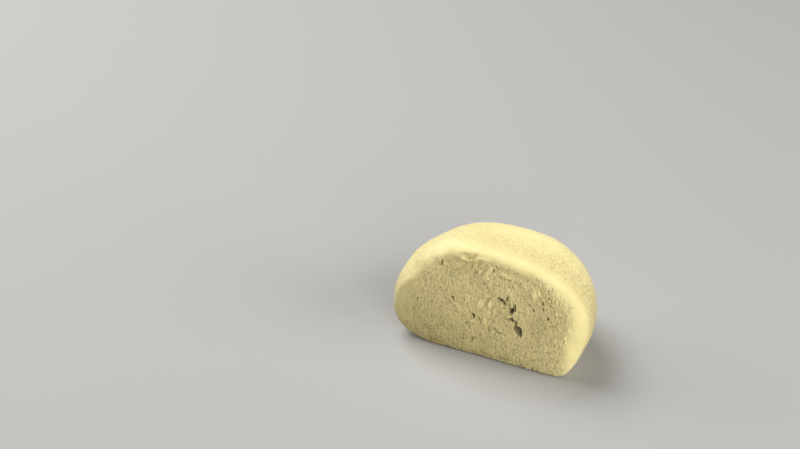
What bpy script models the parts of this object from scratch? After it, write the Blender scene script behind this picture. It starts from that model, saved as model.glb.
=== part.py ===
"""Half of a round mochi, cut straight down: a soft dough skin round the filling that shows at the cut.

Metres, +Z up. The cut face looks along -Y, +X is its right-hand end, and the piece stands on its
flat base. The origin is the middle of the base of the whole piece's box.
"""
import math

import bmesh
import bpy
import numpy as np
from mathutils import Matrix, Vector, noise

MM = 0.001

# The whole half. The formulas below measure Y from the cut face into the piece.
HALF_WIDTH = 26.4 * MM
DEPTH = 32.2 * MM
HEIGHT = 30.3 * MM
CROWN_X = -3.6 * MM         # the crown stands a little left of the middle
WAIST = 11.5 * MM           # height of the widest line at the middle
WAIST_RISE = 0.116          # how much that line climbs towards the right
TUCK = 22.3 * MM            # how far under the waist the sides would take to close
TUCK_RISE = 0.28
ROUND_PLAN = 2.18           # exponents of the curves: 2 is an ellipse, more is squarer
ROUND_ABOVE = 2.36
ROUND_BELOW = 1.8
FOOT_ROUNDING = 0.9 * MM

# The rim's bevel by direction round the core, where 0 degrees is the right-hand end, 90 the top and 180 the
# left-hand end: direction in degrees, then depth and softness towards the cut in mm
BEVEL = (
    (-30, 0.0, 1.5),
    (-14, 2.0, 1.0),
    (0, 3.2, 2.0),
    (15, 2.9, 1.5),
    (30, 2.0, 1.7),
    (45, 1.4, 1.6),
    (65, 1.8, 0.9),
    (85, 1.6, 0.9),
    (105, 0.7, 0.7),
    (118, 1.5, 1.0),
    (130, 2.9, 1.0),
    (142, 4.1, 1.2),
    (155, 4.7, 0.8),
    (180, 1.7, 0.5),
    (208, 0.1, 3.0),
)

# Behind the rim, by direction too: softness of the bevel's outer edge and depth of the valley in mm
EDGE = (
    (-40, 0.5, 0.0),
    (0, 1.2, -0.1),
    (30, 1.1, 1.4),
    (90, 0.6, 1.2),
    (140, 3.6, -0.2),
    (180, 0.4, -0.2),
    (215, 0.5, 0.0),
)
VALLEY_AT = 12.3 * MM       # behind the cut
VALLEY_WIDTH = 6.0 * MM

# Broad swells (+) and dents (-) of the soft dough: centre x, y, z, reach and height in mm
SWELLS = (
    (-23, 3, 22, 6.0, -0.15),
    (-17, 12, 26, 6.0, -0.5),
    (-7, 20, 27, 8.0, 0.1),
    (8, 24, 24, 6.0, 0.4),
    (25.5, 4, 15, 4.5, -0.5),
    (23, 14, 14, 6.0, 0.3),
    (21, 10, 21.5, 4.5, 0.1),
    (24.5, 9, 7, 5.0, 0.4),
    (24.5, 1, 7, 3.5, -1.4),
)

# Thickness of the skin, and the clearance that keeps skin and filling separate solids
SKIN_TOP = 2.0 * MM
SKIN_RIGHT = 4.0 * MM
SKIN_LEFT = 5.4 * MM
SKIN_BACK = 4.0 * MM
SKIN_BASE = 1.9 * MM
POCKET_CORNER = 5.0 * MM
GAP = 0.3 * MM

# Relief of the cut filling: a sunken band under the top of the skin, and smeared lumps
BAND_DEPTH = 0.2 * MM
BAND_INSET = 1.2 * MM
BAND_WIDTH = 1.3 * MM
BAND_FROM = 22.0 * MM       # the band fades in above this height
BAND_FULL = 27.0 * MM
GRAIN_HEIGHT = 0.12 * MM
GRAIN_SIZE = 3.0 * MM
LUMPS = (                   # centre x, z, reach along x, reach along z, height, in mm
    (-1.7, 16.0, 1.1, 1.2, 0.50),
    (1.4, 16.4, 1.2, 1.4, 0.55),
    (-0.3, 18.9, 2.0, 1.2, 0.36),
    (0.1, 11.5, 1.1, 1.3, 0.42),
    (1.8, 10.5, 1.1, 3.4, 0.30),
    (13.6, 23.1, 1.3, 1.1, 0.48),
    (-4.6, 27.2, 3.2, 1.2, 0.20),
    (-3.0, 24.0, 3.0, 2.2, 0.16),
    (6.1, 21.0, 2.0, 1.3, 0.20),
    (5.3, 15.6, 1.1, 1.5, 0.24),
    (-5.0, 9.6, 1.4, 1.2, 0.24),
)

# Cavities in the filling: name, centre x, z, half length, half width, lean in degrees, depth, in mm
CAVITIES = (
    ("hole_upper", 7.15, 16.05, 1.25, 0.85, 86, 3.4),
    ("hole_upper_side", 7.95, 17.3, 1.5, 0.9, 80, 1.5),
    ("hole_link", 6.65, 17.75, 0.9, 0.42, -38, 0.9),
    ("hole_branch", 4.85, 18.15, 1.55, 0.6, -27, 1.3),
    ("hole_twig", 5.85, 19.0, 1.1, 0.44, 71, 1.0),
    ("crack_left", 6.4, 13.45, 1.6, 0.36, -4, 0.8),
    ("crack_right", 8.0, 13.2, 1.1, 0.5, -36, 1.3),
    ("hole_lower", 9.0, 10.85, 2.0, 1.15, -64, 1.9),
    ("hole_lower_end", 9.75, 9.7, 0.9, 0.6, -70, 3.4),
    ("pit_left", -3.1, 11.85, 0.8, 0.48, -44, 1.3),
    ("pit_tail", -1.9, 11.25, 0.8, 0.28, -14, 0.7),
    ("slit_left", -12.05, 24.75, 1.05, 0.3, 77, 0.9),
)
CAVITY_ROUGHNESS = 0.22     # share of a cavity's size that its wall wanders by
CAVITY_MOUTH = 0.5 * MM     # how far its cutter stands out of the face

# How finely the surfaces are divided
AROUND = 84                 # points round every ring
OUTER_RINGS = 28
POCKET_RINGS = 8
FACE_RINGS = 16
BACK_RINGS = 7
RIM_CROWDING = 2.6          # how much closer the rings lie at the rim than at the back
SAMPLES = 241               # fine steps that the even spacing is read from

# Rays from the core find every surface
CORE = np.array((0.0, 11.2 * MM, 11.5 * MM))
FARTHEST = 60.0 * MM
HALVINGS = 44


def smooth_max(a, b, blend):
    """The larger of a and b, with the corner where they meet rounded over a width of blend."""
    nearness = np.clip(1 - np.abs(a - b) / blend, 0, 1)
    return np.maximum(a, b) + nearness**2 * blend / 4


def fade(value, start, end):
    """0 up to start and 1 from end on, with a soft S between them."""
    share = np.clip((value - start) / (end - start), 0, 1)
    return share * share * (3 - 2 * share)


def bell(distance, width):
    return np.exp(-((distance / width) ** 2))


def dome(x, y, z):
    """Below 0 inside the uncut dome: a superellipsoid with its own curve above and below the waist."""
    reach_x = np.where(x > CROWN_X, HALF_WIDTH - CROWN_X, HALF_WIDTH + CROWN_X)
    waist = WAIST + WAIST_RISE * x
    above = z > waist
    reach_z = np.where(above, HEIGHT - waist, TUCK + TUCK_RISE * x)
    power = np.where(above, ROUND_ABOVE, ROUND_BELOW)
    plan = np.abs((x - CROWN_X) / reach_x) ** ROUND_PLAN + np.abs(y / DEPTH) ** ROUND_PLAN
    share = (plan ** (power / ROUND_PLAN) + np.abs((z - waist) / reach_z) ** power) ** (1 / power)
    radius = np.sqrt((x - CROWN_X) ** 2 + y**2 + (z - WAIST) ** 2)
    return radius * (1 - 1 / np.maximum(share, 1e-3))


def swells(x, y, z):
    """How far the dough stands out of the plain dome."""
    total = np.zeros(np.shape(x))
    for centre_x, centre_y, centre_z, reach, height in SWELLS:
        away = (x - centre_x * MM) ** 2 + (y - centre_y * MM) ** 2 + (z - centre_z * MM) ** 2
        total = total + height * MM * bell(np.sqrt(away), reach * MM)
    return total


def by_direction(x, z, table, column):
    """A value of a table in metres, blended softly between the rows by the direction round the core."""
    rows = np.array(table)
    turn = np.degrees(np.arctan2(z - CORE[2], x))
    place = np.interp(np.where(turn < -90, turn + 360, turn), rows[:, 0], np.arange(len(rows)))
    row = np.minimum(place.astype(int), len(rows) - 2)
    share = fade(place - row, 0, 1)
    values = rows[:, column] * MM
    return values[row] * (1 - share) + values[row + 1] * share


def whole_half(x, y, z):
    """Below 0 inside the half: the dome with its valley, cut at Y = 0, bevelled at the rim, flat at Z = 0."""
    valley = by_direction(x, z, EDGE, 2) * bell(y - VALLEY_AT, VALLEY_WIDTH)
    body = dome(x, y, z) + valley - fade(z, 2 * MM, 14 * MM) * swells(x, y, z)
    bevel = (body - y + by_direction(x, z, BEVEL, 1)) * math.sqrt(0.5)
    front = smooth_max(-y, bevel, by_direction(x, z, BEVEL, 2))
    return smooth_max(smooth_max(front, body, by_direction(x, z, EDGE, 1)), -z, FOOT_ROUNDING)


def filling_form(x, y, z):
    """Below 0 inside the pocket of the skin, which runs on through the cut."""
    side = np.where(x > 0, SKIN_RIGHT, SKIN_LEFT)
    up = z - CORE[2]
    spread = np.maximum(x**2 + y**2 + up**2, 1e-12)
    skin = (side * x**2 + SKIN_BACK * y**2 + SKIN_TOP * up**2) / spread
    return smooth_max(dome(x, y, z) + skin, SKIN_BASE - z, POCKET_CORNER)


def filling_form_clear(x, y, z):
    """The same, smaller by the clearance all round."""
    return filling_form(x, y, z) + GAP


def surface(form, around, away):
    """Points where rays from the core leave a form.

    around turns about the Y axis from +X towards +Z, and away opens from -Y, the cut, to +Y, the back.
    """
    heading = np.stack(
        [np.sin(away) * np.cos(around), -np.cos(away), np.sin(away) * np.sin(around)], axis=-1
    )
    near = np.zeros(heading.shape[:-1])
    far = np.full(heading.shape[:-1], FARTHEST)
    for _ in range(HALVINGS):
        middle = (near + far) / 2
        inside = form(*np.moveaxis(CORE + heading * middle[..., None], -1, 0)) < 0
        near = np.where(inside, middle, near)
        far = np.where(inside, far, middle)
    points = CORE + heading * near[..., None]
    points[..., 2] = np.where(points[..., 2] < 1e-7, 0.0, points[..., 2])
    return points


def even_turns(count):
    """Angles about the core that share out the outline of the cut, closer together at its corners."""
    fine = np.linspace(0, 2 * math.pi, 3 * SAMPLES)
    outline = surface(whole_half, fine, np.full(fine.shape, math.radians(70)))
    steps = np.diff(outline, axis=0)
    lengths = np.linalg.norm(steps, axis=1)
    heading = np.unwrap(np.arctan2(steps[:, 2], steps[:, 0]))
    turning = np.abs(np.gradient(heading)) * 9 * MM
    travelled = np.concatenate([[0], np.cumsum(lengths + turning)])
    wanted = np.linspace(0, travelled[-1], count, endpoint=False)
    return np.interp(wanted, travelled, fine)


def edge_of(form, around):
    """The opening angle at which the cut face passes from the filling's form to the skin."""
    low = np.full(around.shape, 0.2)
    high = np.full(around.shape, 1.9)
    for _ in range(HALVINGS):
        middle = (low + high) / 2
        on_filling = form(*np.moveaxis(surface(whole_half, around, middle), -1, 0)) < 0
        low = np.where(on_filling, middle, low)
        high = np.where(on_filling, high, middle)
    return low


def rings(form, around, start, end, count, crowding=0.0):
    """Rings of points from one opening angle to another, both included, evenly spaced over the form."""
    shares = np.linspace(0, 1, SAMPLES)
    away = start[:, None] + (end - start)[:, None] * shares
    points = surface(form, around[:, None], away)
    steps = np.linalg.norm(np.diff(points, axis=1), axis=2)
    middles = (points[:, 1:] + points[:, :-1]) / 2
    steps = steps * (1 + crowding * bell(middles[..., 1], 4 * MM))
    travelled = np.concatenate([np.zeros((len(around), 1)), np.cumsum(steps, axis=1)], axis=1)
    wanted = np.linspace(0, 1, count)
    picked = [
        np.interp(wanted * row[-1], row, angles) for row, angles in zip(travelled, away)
    ]
    return surface(form, around[:, None], np.array(picked)).transpose(1, 0, 2)


def relief(x, z):
    """How far the cut filling stands out of the plane of the cut, negative where it is sunken."""
    inset = -filling_form(x, np.zeros(x.shape), z)
    high = fade(z, BAND_FROM, BAND_FULL)
    total = -BAND_DEPTH * high * bell(inset - BAND_INSET, BAND_WIDTH)
    for centre_x, centre_z, reach_x, reach_z, height in LUMPS:
        away_x = (x - centre_x * MM) / (reach_x * MM)
        away_z = (z - centre_z * MM) / (reach_z * MM)
        total = total + height * MM * np.exp(-(away_x**2) - away_z**2)
    grain = [noise.noise(Vector((a, b, 0.0)) / GRAIN_SIZE) for a, b in zip(x.ravel(), z.ravel())]
    return total + GRAIN_HEIGHT * np.reshape(grain, x.shape)


def carve_relief(points):
    """Moves points of the cut face by the relief. +Y is into the piece."""
    carved = points.copy()
    carved[..., 1] -= relief(points[..., 0], points[..., 2])
    return carved


def closed_loft(name, first_pole, loops, last_pole):
    """A closed mesh over rings of equal count, drawn together to a point at each end."""
    bm = bmesh.new()
    rows = [[bm.verts.new(point) for point in loop] for loop in loops]
    poles = [bm.verts.new(first_pole), bm.verts.new(last_pole)]
    following = list(range(1, len(rows[0]))) + [0]
    for row, next_row in zip(rows, rows[1:]):
        for here, there in enumerate(following):
            bm.faces.new((row[here], row[there], next_row[there], next_row[here]))
    for pole, row in zip(poles, (rows[0], rows[-1])):
        for here, there in enumerate(following):
            bm.faces.new((pole, row[here], row[there]))
    bmesh.ops.recalc_face_normals(bm, faces=bm.faces)
    if bm.calc_volume(signed=True) < 0:
        bmesh.ops.reverse_faces(bm, faces=bm.faces)
    return mesh_object(name, bm)


def mesh_object(name, bm):
    """Turns a finished bmesh into an object of the scene, shaded smooth with its real edges kept."""
    mesh = bpy.data.meshes.new(name)
    bm.to_mesh(mesh)
    bm.free()
    mesh.shade_smooth()
    mesh.set_sharp_from_angle(angle=math.radians(55))
    made = bpy.data.objects.new(name, mesh)
    bpy.context.scene.collection.objects.link(made)
    return made


def finish(name, colour, roughness):
    """A Principled material."""
    material = bpy.data.materials.new(name)
    material.use_nodes = True
    shader = material.node_tree.nodes["Principled BSDF"]
    shader.inputs["Base Color"].default_value = (*colour, 1.0)
    shader.inputs["Roughness"].default_value = roughness
    shader.inputs["Metallic"].default_value = 0.0
    return material


def base_middle(points):
    """The middle of the box round some points, at the height of the base."""
    low = points.reshape(-1, 3).min(axis=0)
    high = points.reshape(-1, 3).max(axis=0)
    return np.array(((low[0] + high[0]) / 2, (low[1] + high[1]) / 2, 0.0))


def skin_rings(around):
    """The skin's rings, from the bottom of its pocket out to the lip and round to the back."""
    lip = edge_of(filling_form, around)
    back = np.full(around.shape, math.pi)
    pocket = rings(filling_form, around, back, lip, POCKET_RINGS + 1)[1:-1]
    outer = rings(whole_half, around, lip, back, OUTER_RINGS + 1, RIM_CROWDING)[:-1]
    return np.concatenate([pocket, outer])


def filling_rings(around):
    """The filling's rings, from the middle of its cut face to its edge and round to the back."""
    edge = edge_of(filling_form_clear, around)
    front = np.zeros(around.shape)
    back = np.full(around.shape, math.pi)
    face = carve_relief(rings(whole_half, around, front, edge, FACE_RINGS + 1)[1:])
    rear = rings(filling_form_clear, around, edge, back, BACK_RINGS + 1)[1:-1]
    return np.concatenate([face, rear])


def pole(form, away):
    """The single point straight in front of the core, or straight behind it."""
    return surface(form, np.zeros(1), np.full(1, away))


def make_skin(loops, middle):
    made = closed_loft(
        "mochi_skin",
        pole(filling_form, math.pi)[0] - middle,
        loops - middle,
        pole(whole_half, math.pi)[0] - middle,
    )
    made.data.materials.append(finish("soft dough", (0.93, 0.80, 0.38), 0.55))
    return made


def make_filling(loops, middle):
    made = closed_loft(
        "mochi_filling",
        carve_relief(pole(whole_half, 0.0))[0] - middle,
        loops - middle,
        pole(filling_form_clear, math.pi)[0] - middle,
    )
    made.data.materials.append(finish("grainy filling", (0.90, 0.77, 0.36), 0.75))
    return made


def cavity_cutter(name, centre_x, centre_z, half_length, half_width, lean, depth, middle):
    """A lumpy egg set into the cut face, with its widest girth at the face."""
    bm = bmesh.new()
    bmesh.ops.create_icosphere(bm, subdivisions=2, radius=1.0)
    for vert in bm.verts:
        wander = noise.noise(vert.co * 1.7 + Vector((centre_x, centre_z, lean)))
        vert.co *= 1 + CAVITY_ROUGHNESS * wander
        along_y = depth * MM if vert.co.y > 0 else CAVITY_MOUTH
        vert.co *= Vector((half_length * MM, along_y, half_width * MM))
    place = Matrix.Translation(Vector((centre_x * MM, 0.0, centre_z * MM)) - Vector(middle))
    turn = Matrix.Rotation(-math.radians(lean), 4, "Y")
    bmesh.ops.transform(bm, matrix=place @ turn, verts=bm.verts)
    bmesh.ops.recalc_face_normals(bm, faces=bm.faces)
    made = mesh_object(name, bm)
    made.hide_render = True
    made.display_type = "WIRE"
    return made


def cut_cavities(filling, middle):
    """Opens every cavity in the cut face of the filling with one Boolean."""
    cutters = bpy.data.collections.new("cavity cutters")
    bpy.context.scene.collection.children.link(cutters)
    for name, *sizes in CAVITIES:
        cutter = cavity_cutter(name + "_cutter", *sizes, middle)
        bpy.context.scene.collection.objects.unlink(cutter)
        cutters.objects.link(cutter)
    cut = filling.modifiers.new("cavities", "BOOLEAN")
    cut.operation = "DIFFERENCE"
    cut.solver = "EXACT"
    cut.operand_type = "COLLECTION"
    cut.collection = cutters


def main():
    for old in list(bpy.data.objects):
        bpy.data.objects.remove(old, do_unlink=True)
    around = even_turns(AROUND)
    skin = skin_rings(around)
    filling = filling_rings(around)
    middle = base_middle(np.concatenate([skin, filling]))
    make_skin(skin, middle)
    cut_cavities(make_filling(filling, middle), middle)


main()
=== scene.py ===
# %% [markdown]
# # Half of a filled mochi
# The sweet is a ball of steamed rice dough closed round a soft filling, set down while it is warm, so that
# its base goes flat, and cut in two with a knife. The knife drags the dough over the edge of the cut, which
# leaves a bevelled rim with a soft edge and a shallow valley behind it. Inside the rim lies the filling:
# matt, finely porous, and torn open in a few places.
#
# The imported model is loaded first. It gives the true place and size of both solids, and every piece below is
# made in its frame, in metres.

import math
from itertools import product

import bpy
import numpy as np
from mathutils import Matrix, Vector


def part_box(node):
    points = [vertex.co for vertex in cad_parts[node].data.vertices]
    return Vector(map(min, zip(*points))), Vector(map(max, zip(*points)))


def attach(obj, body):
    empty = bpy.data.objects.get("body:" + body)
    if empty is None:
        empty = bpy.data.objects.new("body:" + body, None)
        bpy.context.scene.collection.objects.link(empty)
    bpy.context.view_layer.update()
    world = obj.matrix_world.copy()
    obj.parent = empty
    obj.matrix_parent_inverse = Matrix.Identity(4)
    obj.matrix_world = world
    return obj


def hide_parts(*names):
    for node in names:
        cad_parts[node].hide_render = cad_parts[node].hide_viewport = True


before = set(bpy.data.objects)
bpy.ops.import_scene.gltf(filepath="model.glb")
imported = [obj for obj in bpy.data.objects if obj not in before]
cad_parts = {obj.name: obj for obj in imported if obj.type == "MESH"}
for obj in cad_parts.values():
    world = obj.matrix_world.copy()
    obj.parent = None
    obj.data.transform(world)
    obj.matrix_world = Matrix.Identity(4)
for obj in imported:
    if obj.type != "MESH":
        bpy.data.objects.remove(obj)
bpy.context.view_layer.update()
MM = 0.001
print("nodes:", sorted(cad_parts))

# %% [markdown]
# ## A few soft shapes of curve
# Dough has no hard corners, so every form here is put together from three gentle curves: a rounded
# "larger of two", a soft step and a bell. Random unevenness comes from a lattice of random heights with
# smooth blending between them, which is the same idea as a noise texture, but gives real height that can
# move the mesh.


# %% Soft curves
def smooth_max(a, b, blend):
    """The larger of a and b, with the corner where they meet rounded over a width of blend."""
    nearness = np.clip(1 - np.abs(a - b) / blend, 0, 1)
    return np.maximum(a, b) + nearness**2 * blend / 4


def fade(value, start, end):
    """0 up to start and 1 from end on, with a soft S between them: share squared times (3 - 2 share)."""
    share = np.clip((value - start) / (end - start), 0, 1)
    return share * share * (3 - 2 * share)


def bell(distance, width):
    """1 in the middle and falling off on both sides: e to the power of minus (distance / width) squared."""
    return np.exp(-((distance / width) ** 2))


LATTICE = 64                # corners each way before the lattice repeats


def wander(x, y, z, size, seed):
    """Smooth random heights between -1 and 1.

    Space is divided into cubes of the given size. Each corner has a random height, and a point takes the
    heights of its eight corners, each weighted by a soft step of how near the point is along each axis.
    """
    corners = np.random.default_rng(seed).uniform(-1, 1, (LATTICE, LATTICE, LATTICE))
    place = np.stack(np.broadcast_arrays(x, y, z)) / size
    cell = np.floor(place).astype(int)
    share = place - cell
    share = share**3 * (share * (share * 6 - 15) + 10)
    total = np.zeros(place.shape[1:])
    for step in product((0, 1), repeat=3):
        weight = np.ones(place.shape[1:])
        for axis in range(3):
            weight = weight * (share[axis] if step[axis] else 1 - share[axis])
        corner = [(cell[axis] + step[axis]) % LATTICE for axis in range(3)]
        total += weight * corners[tuple(corner)]
    return total


print("wander at three points:", wander(np.array([0.0, 0.4, 9.0]), 0.0, 0.0, 1.0, 1).round(2))

# %% [markdown]
# ## The form of the half
# A mesh sculpted by hand would be hard to keep true to the solids, so the form is written as a formula that
# is below 0 inside the dough and above 0 outside. The dome is a superellipsoid, which is an ellipsoid whose
# curve may be a little squarer than a circle, with its own curve above and below the waist. The flat cut and
# the flat base are joined on with the rounded "larger of two". Where the knife pulled the soft edge down, a
# bevel halfway between the cut and the dome takes off the corner, and a shallow valley runs behind it.
#
# All sizes are the ones of the solids. The sizes of the dome and the valley, the rows of the bevel and its
# edge, and the heights of the swells weren't chosen one by one: they are rounded results of a program that
# fitted this form to a photograph of the sweet.

# %% Sizes of the form
HALF_WIDTH = 26.4 * MM
DEPTH = 32.2 * MM           # from the cut to the back
HEIGHT = 30.3 * MM
CROWN_X = -3.6 * MM         # where the dome is highest
WAIST = 11.5 * MM           # how high up the dome is widest
WAIST_RISE = 0.116          # how steeply the waist climbs to the right
TUCK = 22.3 * MM            # how far the dome would reach below its waist if the base didn't cut it off
TUCK_RISE = 0.28
ROUND_PLAN = 2.18           # 2 is a true ellipse and more is squarer
ROUND_ABOVE = 2.36
ROUND_BELOW = 1.8
FOOT_ROUNDING = 0.9 * MM

# The rim's bevel by direction round the core, where 0 degrees is the right-hand end, 90 the top and 180 the
# left-hand end: direction in degrees, then depth and softness towards the cut in mm
BEVEL = (
    (-30, 0.0, 1.5),
    (-14, 2.0, 1.0),
    (0, 3.2, 2.0),
    (15, 2.9, 1.5),
    (30, 2.0, 1.7),
    (45, 1.4, 1.6),
    (65, 1.8, 0.9),
    (85, 1.6, 0.9),
    (105, 0.7, 0.7),
    (118, 1.5, 1.0),
    (130, 2.9, 1.0),
    (142, 4.1, 1.2),
    (155, 4.7, 0.8),
    (180, 1.7, 0.5),
    (208, 0.1, 3.0),
)

# Behind the rim, by direction too: softness of the bevel's outer edge and depth of the valley in mm
EDGE = (
    (-40, 0.5, 0.0),
    (0, 1.2, -0.1),
    (30, 1.1, 1.4),
    (90, 0.6, 1.2),
    (140, 3.6, -0.2),
    (180, 0.4, -0.2),
    (215, 0.5, 0.0),
)
VALLEY_AT = 12.3 * MM
VALLEY_WIDTH = 6.0 * MM

# Broad swells (+) and dents (-) of the soft dough: centre x, y, z, reach and height in mm
SWELLS = (
    (-23, 3, 22, 6.0, -0.15),
    (-17, 12, 26, 6.0, -0.5),
    (-7, 20, 27, 8.0, 0.1),
    (8, 24, 24, 6.0, 0.4),
    (25.5, 4, 15, 4.5, -0.5),
    (23, 14, 14, 6.0, 0.3),
    (21, 10, 21.5, 4.5, 0.1),
    (24.5, 9, 7, 5.0, 0.4),
    (24.5, 1, 7, 3.5, -1.4),
)
SWELLS_FROM = 2 * MM        # they fade out towards the base, between these two heights
SWELLS_FULL = 14 * MM

# The thickness of the skin round the pocket
SKIN_TOP = 2.0 * MM
SKIN_RIGHT = 4.0 * MM
SKIN_LEFT = 5.4 * MM
SKIN_BACK = 4.0 * MM
SKIN_BASE = 1.9 * MM
POCKET_CORNER = 5.0 * MM

CORE = np.array((0.0, 11.2 * MM, 11.5 * MM))   # rays from here reach every surface
FARTHEST = 60.0 * MM
HALVINGS = 26
print("rows: bevel", len(BEVEL), "edge", len(EDGE), "swells", len(SWELLS))


# %% The form as formulas
def dome(x, y, z):
    """Below 0 inside the uncut dome.

    A point's share is its distance from the middle as a part of the distance to the surface, measured with
    the powers of the superellipsoid. The value is the distance from the middle times (1 - 1 / share).
    """
    reach_x = np.where(x > CROWN_X, HALF_WIDTH - CROWN_X, HALF_WIDTH + CROWN_X)
    waist = WAIST + WAIST_RISE * x
    above = z > waist
    reach_z = np.where(above, HEIGHT - waist, TUCK + TUCK_RISE * x)
    power = np.where(above, ROUND_ABOVE, ROUND_BELOW)
    plan = np.abs((x - CROWN_X) / reach_x) ** ROUND_PLAN + np.abs(y / DEPTH) ** ROUND_PLAN
    share = (plan ** (power / ROUND_PLAN) + np.abs((z - waist) / reach_z) ** power) ** (1 / power)
    radius = np.sqrt((x - CROWN_X) ** 2 + y**2 + (z - WAIST) ** 2)
    return radius * (1 - 1 / np.maximum(share, 1e-3))


def swells(x, y, z):
    """The sum of the bells in the list of swells."""
    total = np.zeros(np.shape(x))
    for centre_x, centre_y, centre_z, reach, height in SWELLS:
        away = (x - centre_x * MM) ** 2 + (y - centre_y * MM) ** 2 + (z - centre_z * MM) ** 2
        total = total + height * MM * bell(np.sqrt(away), reach * MM)
    return total


def by_direction(x, z, table, column):
    """A value of a table in metres, blended softly between the rows by the direction round the core."""
    rows = np.array(table)
    turn = np.degrees(np.arctan2(z - CORE[2], x))
    place = np.interp(np.where(turn < -90, turn + 360, turn), rows[:, 0], np.arange(len(rows)))
    row = np.minimum(place.astype(int), len(rows) - 2)
    share = fade(place - row, 0, 1)
    values = rows[:, column] * MM
    return values[row] * (1 - share) + values[row + 1] * share


def whole_half(x, y, z):
    """Below 0 inside the half.

    The dome, with a valley sunk into it, is cut at Y = 0. A bevel halfway between the two surfaces takes
    off the corner: its value is (body - y + depth) / root 2.
    """
    valley = by_direction(x, z, EDGE, 2) * bell(y - VALLEY_AT, VALLEY_WIDTH)
    body = dome(x, y, z) + valley - fade(z, SWELLS_FROM, SWELLS_FULL) * swells(x, y, z)
    bevel = (body - y + by_direction(x, z, BEVEL, 1)) * math.sqrt(0.5)
    front = smooth_max(-y, bevel, by_direction(x, z, BEVEL, 2))
    return smooth_max(smooth_max(front, body, by_direction(x, z, EDGE, 1)), -z, FOOT_ROUNDING)


def filling_form(x, y, z):
    """Below 0 inside the pocket of the skin: the dome less a skin whose thickness changes with direction."""
    side = np.where(x > 0, SKIN_RIGHT, SKIN_LEFT)
    up = z - CORE[2]
    spread = np.maximum(x**2 + y**2 + up**2, 1e-12)
    skin = (side * x**2 + SKIN_BACK * y**2 + SKIN_TOP * up**2) / spread
    return smooth_max(dome(x, y, z) + skin, SKIN_BASE - z, POCKET_CORNER)


middle_value = whole_half(*CORE)
print("value at the core, in mm:", round(float(middle_value) / MM, 2), "(below 0 is inside)")

# %% [markdown]
# ## Finding the surface
# A formula that is 0 on the surface still has to become points. From a core inside the half, a ray in any
# direction leaves the dough exactly once, so each ray is halved again and again between "inside" and
# "outside" until it stops at the surface. All rays are worked out together as one array. Two angles name a
# ray: one turns about the Y axis, the other opens from the cut towards the back.


# %% Rays from the core
ON_THE_BASE = 1e-6                    # points lower than this are put on the base exactly
EDGE_BETWEEN = (0.2, 1.9)             # opening angles on the filling and on the skin
OUTLINE_SAMPLES = 1500
OUTLINE_OPENING = math.radians(70)    # a ring a few millimetres behind the cut
CORNER_WORTH = 9                      # one radian of turning counts for this many mm of length


def surface(form, around, away):
    """Points where rays from the core leave a form.

    The ray's direction is (sin away cos around, -cos away, sin away sin around).
    """
    around, away = np.broadcast_arrays(around, away)
    heading = np.stack(
        [np.sin(away) * np.cos(around), -np.cos(away), np.sin(away) * np.sin(around)], axis=-1
    )
    near = np.zeros(heading.shape[:-1])
    far = np.full(heading.shape[:-1], FARTHEST)
    for _ in range(HALVINGS):
        half_way = (near + far) / 2
        inside = form(*np.moveaxis(CORE + heading * half_way[..., None], -1, 0)) < 0
        near = np.where(inside, half_way, near)
        far = np.where(inside, far, half_way)
    points = CORE + heading * near[..., None]
    points[..., 2] = np.where(points[..., 2] < ON_THE_BASE, 0.0, points[..., 2])
    return points


def edge_of(form, around):
    """The opening angle at which the cut face passes from the filling to the skin, by halving."""
    low = np.full(around.shape, EDGE_BETWEEN[0])
    high = np.full(around.shape, EDGE_BETWEEN[1])
    for _ in range(HALVINGS):
        half_way = (low + high) / 2
        on_filling = form(*np.moveaxis(surface(whole_half, around, half_way), -1, 0)) < 0
        low = np.where(on_filling, half_way, low)
        high = np.where(on_filling, high, half_way)
    return low


def even_turns(count):
    """Turning angles that share out the outline of the cut evenly, with more at its corners."""
    fine = np.linspace(0, 2 * math.pi, OUTLINE_SAMPLES)
    outline = surface(whole_half, fine, np.full(fine.shape, OUTLINE_OPENING))
    steps = np.diff(outline, axis=0)
    heading = np.unwrap(np.arctan2(steps[:, 2], steps[:, 0]))
    turning = np.abs(np.gradient(heading)) * CORNER_WORTH * MM
    travelled = np.concatenate([[0], np.cumsum(np.linalg.norm(steps, axis=1) + turning)])
    return np.interp(np.linspace(0, travelled[-1], count, endpoint=False), travelled, fine)


# %% Even rings
TURN_COUNT = 620
RING_SAMPLES = 161
NEAR_CUT = 5 * MM                     # how far behind the cut the rings may be crowded


def rings(form, around, start, end, count, crowding=0.0):
    """Rings of points from one opening angle to another, evenly spaced over the form.

    Each turn is sampled finely, its length is summed, and the ring angles are read where equal parts of that
    length end. Crowding makes length count for more near the cut, so that more rings fall there.
    """
    shares = np.linspace(0, 1, RING_SAMPLES)
    away = start[:, None] + (end - start)[:, None] * shares
    points = surface(form, around[:, None], away)
    steps = np.linalg.norm(np.diff(points, axis=1), axis=2)
    halfway = (points[:, 1:, 1] + points[:, :-1, 1]) / 2
    steps = steps * (1 + crowding * bell(halfway, NEAR_CUT))
    travelled = np.concatenate([np.zeros((len(around), 1)), np.cumsum(steps, axis=1)], axis=1)
    wanted = np.linspace(0, 1, count)
    picked = [np.interp(wanted * row[-1], row, angles) for row, angles in zip(travelled, away)]
    return surface(form, around[:, None], np.array(picked)).transpose(1, 0, 2)


turns = even_turns(TURN_COUNT)
lip_away = edge_of(filling_form, turns)
lip = surface(whole_half, turns, lip_away)
print("lip of the skin in mm: from", (lip.min(0) / MM).round(2), "to", (lip.max(0) / MM).round(2))

# %% [markdown]
# ## From arrays to meshes
# A grid of points becomes a mesh by joining each point with its neighbours in the next row and column. The
# arrays go into the mesh in one step each with foreach_set, which is far faster than adding faces one by one.
# A closed skin must have its faces pointing outwards, and the sum of the small pyramids between each face and
# the origin tells: it is the volume, and it is negative when the mesh is inside out.


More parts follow.
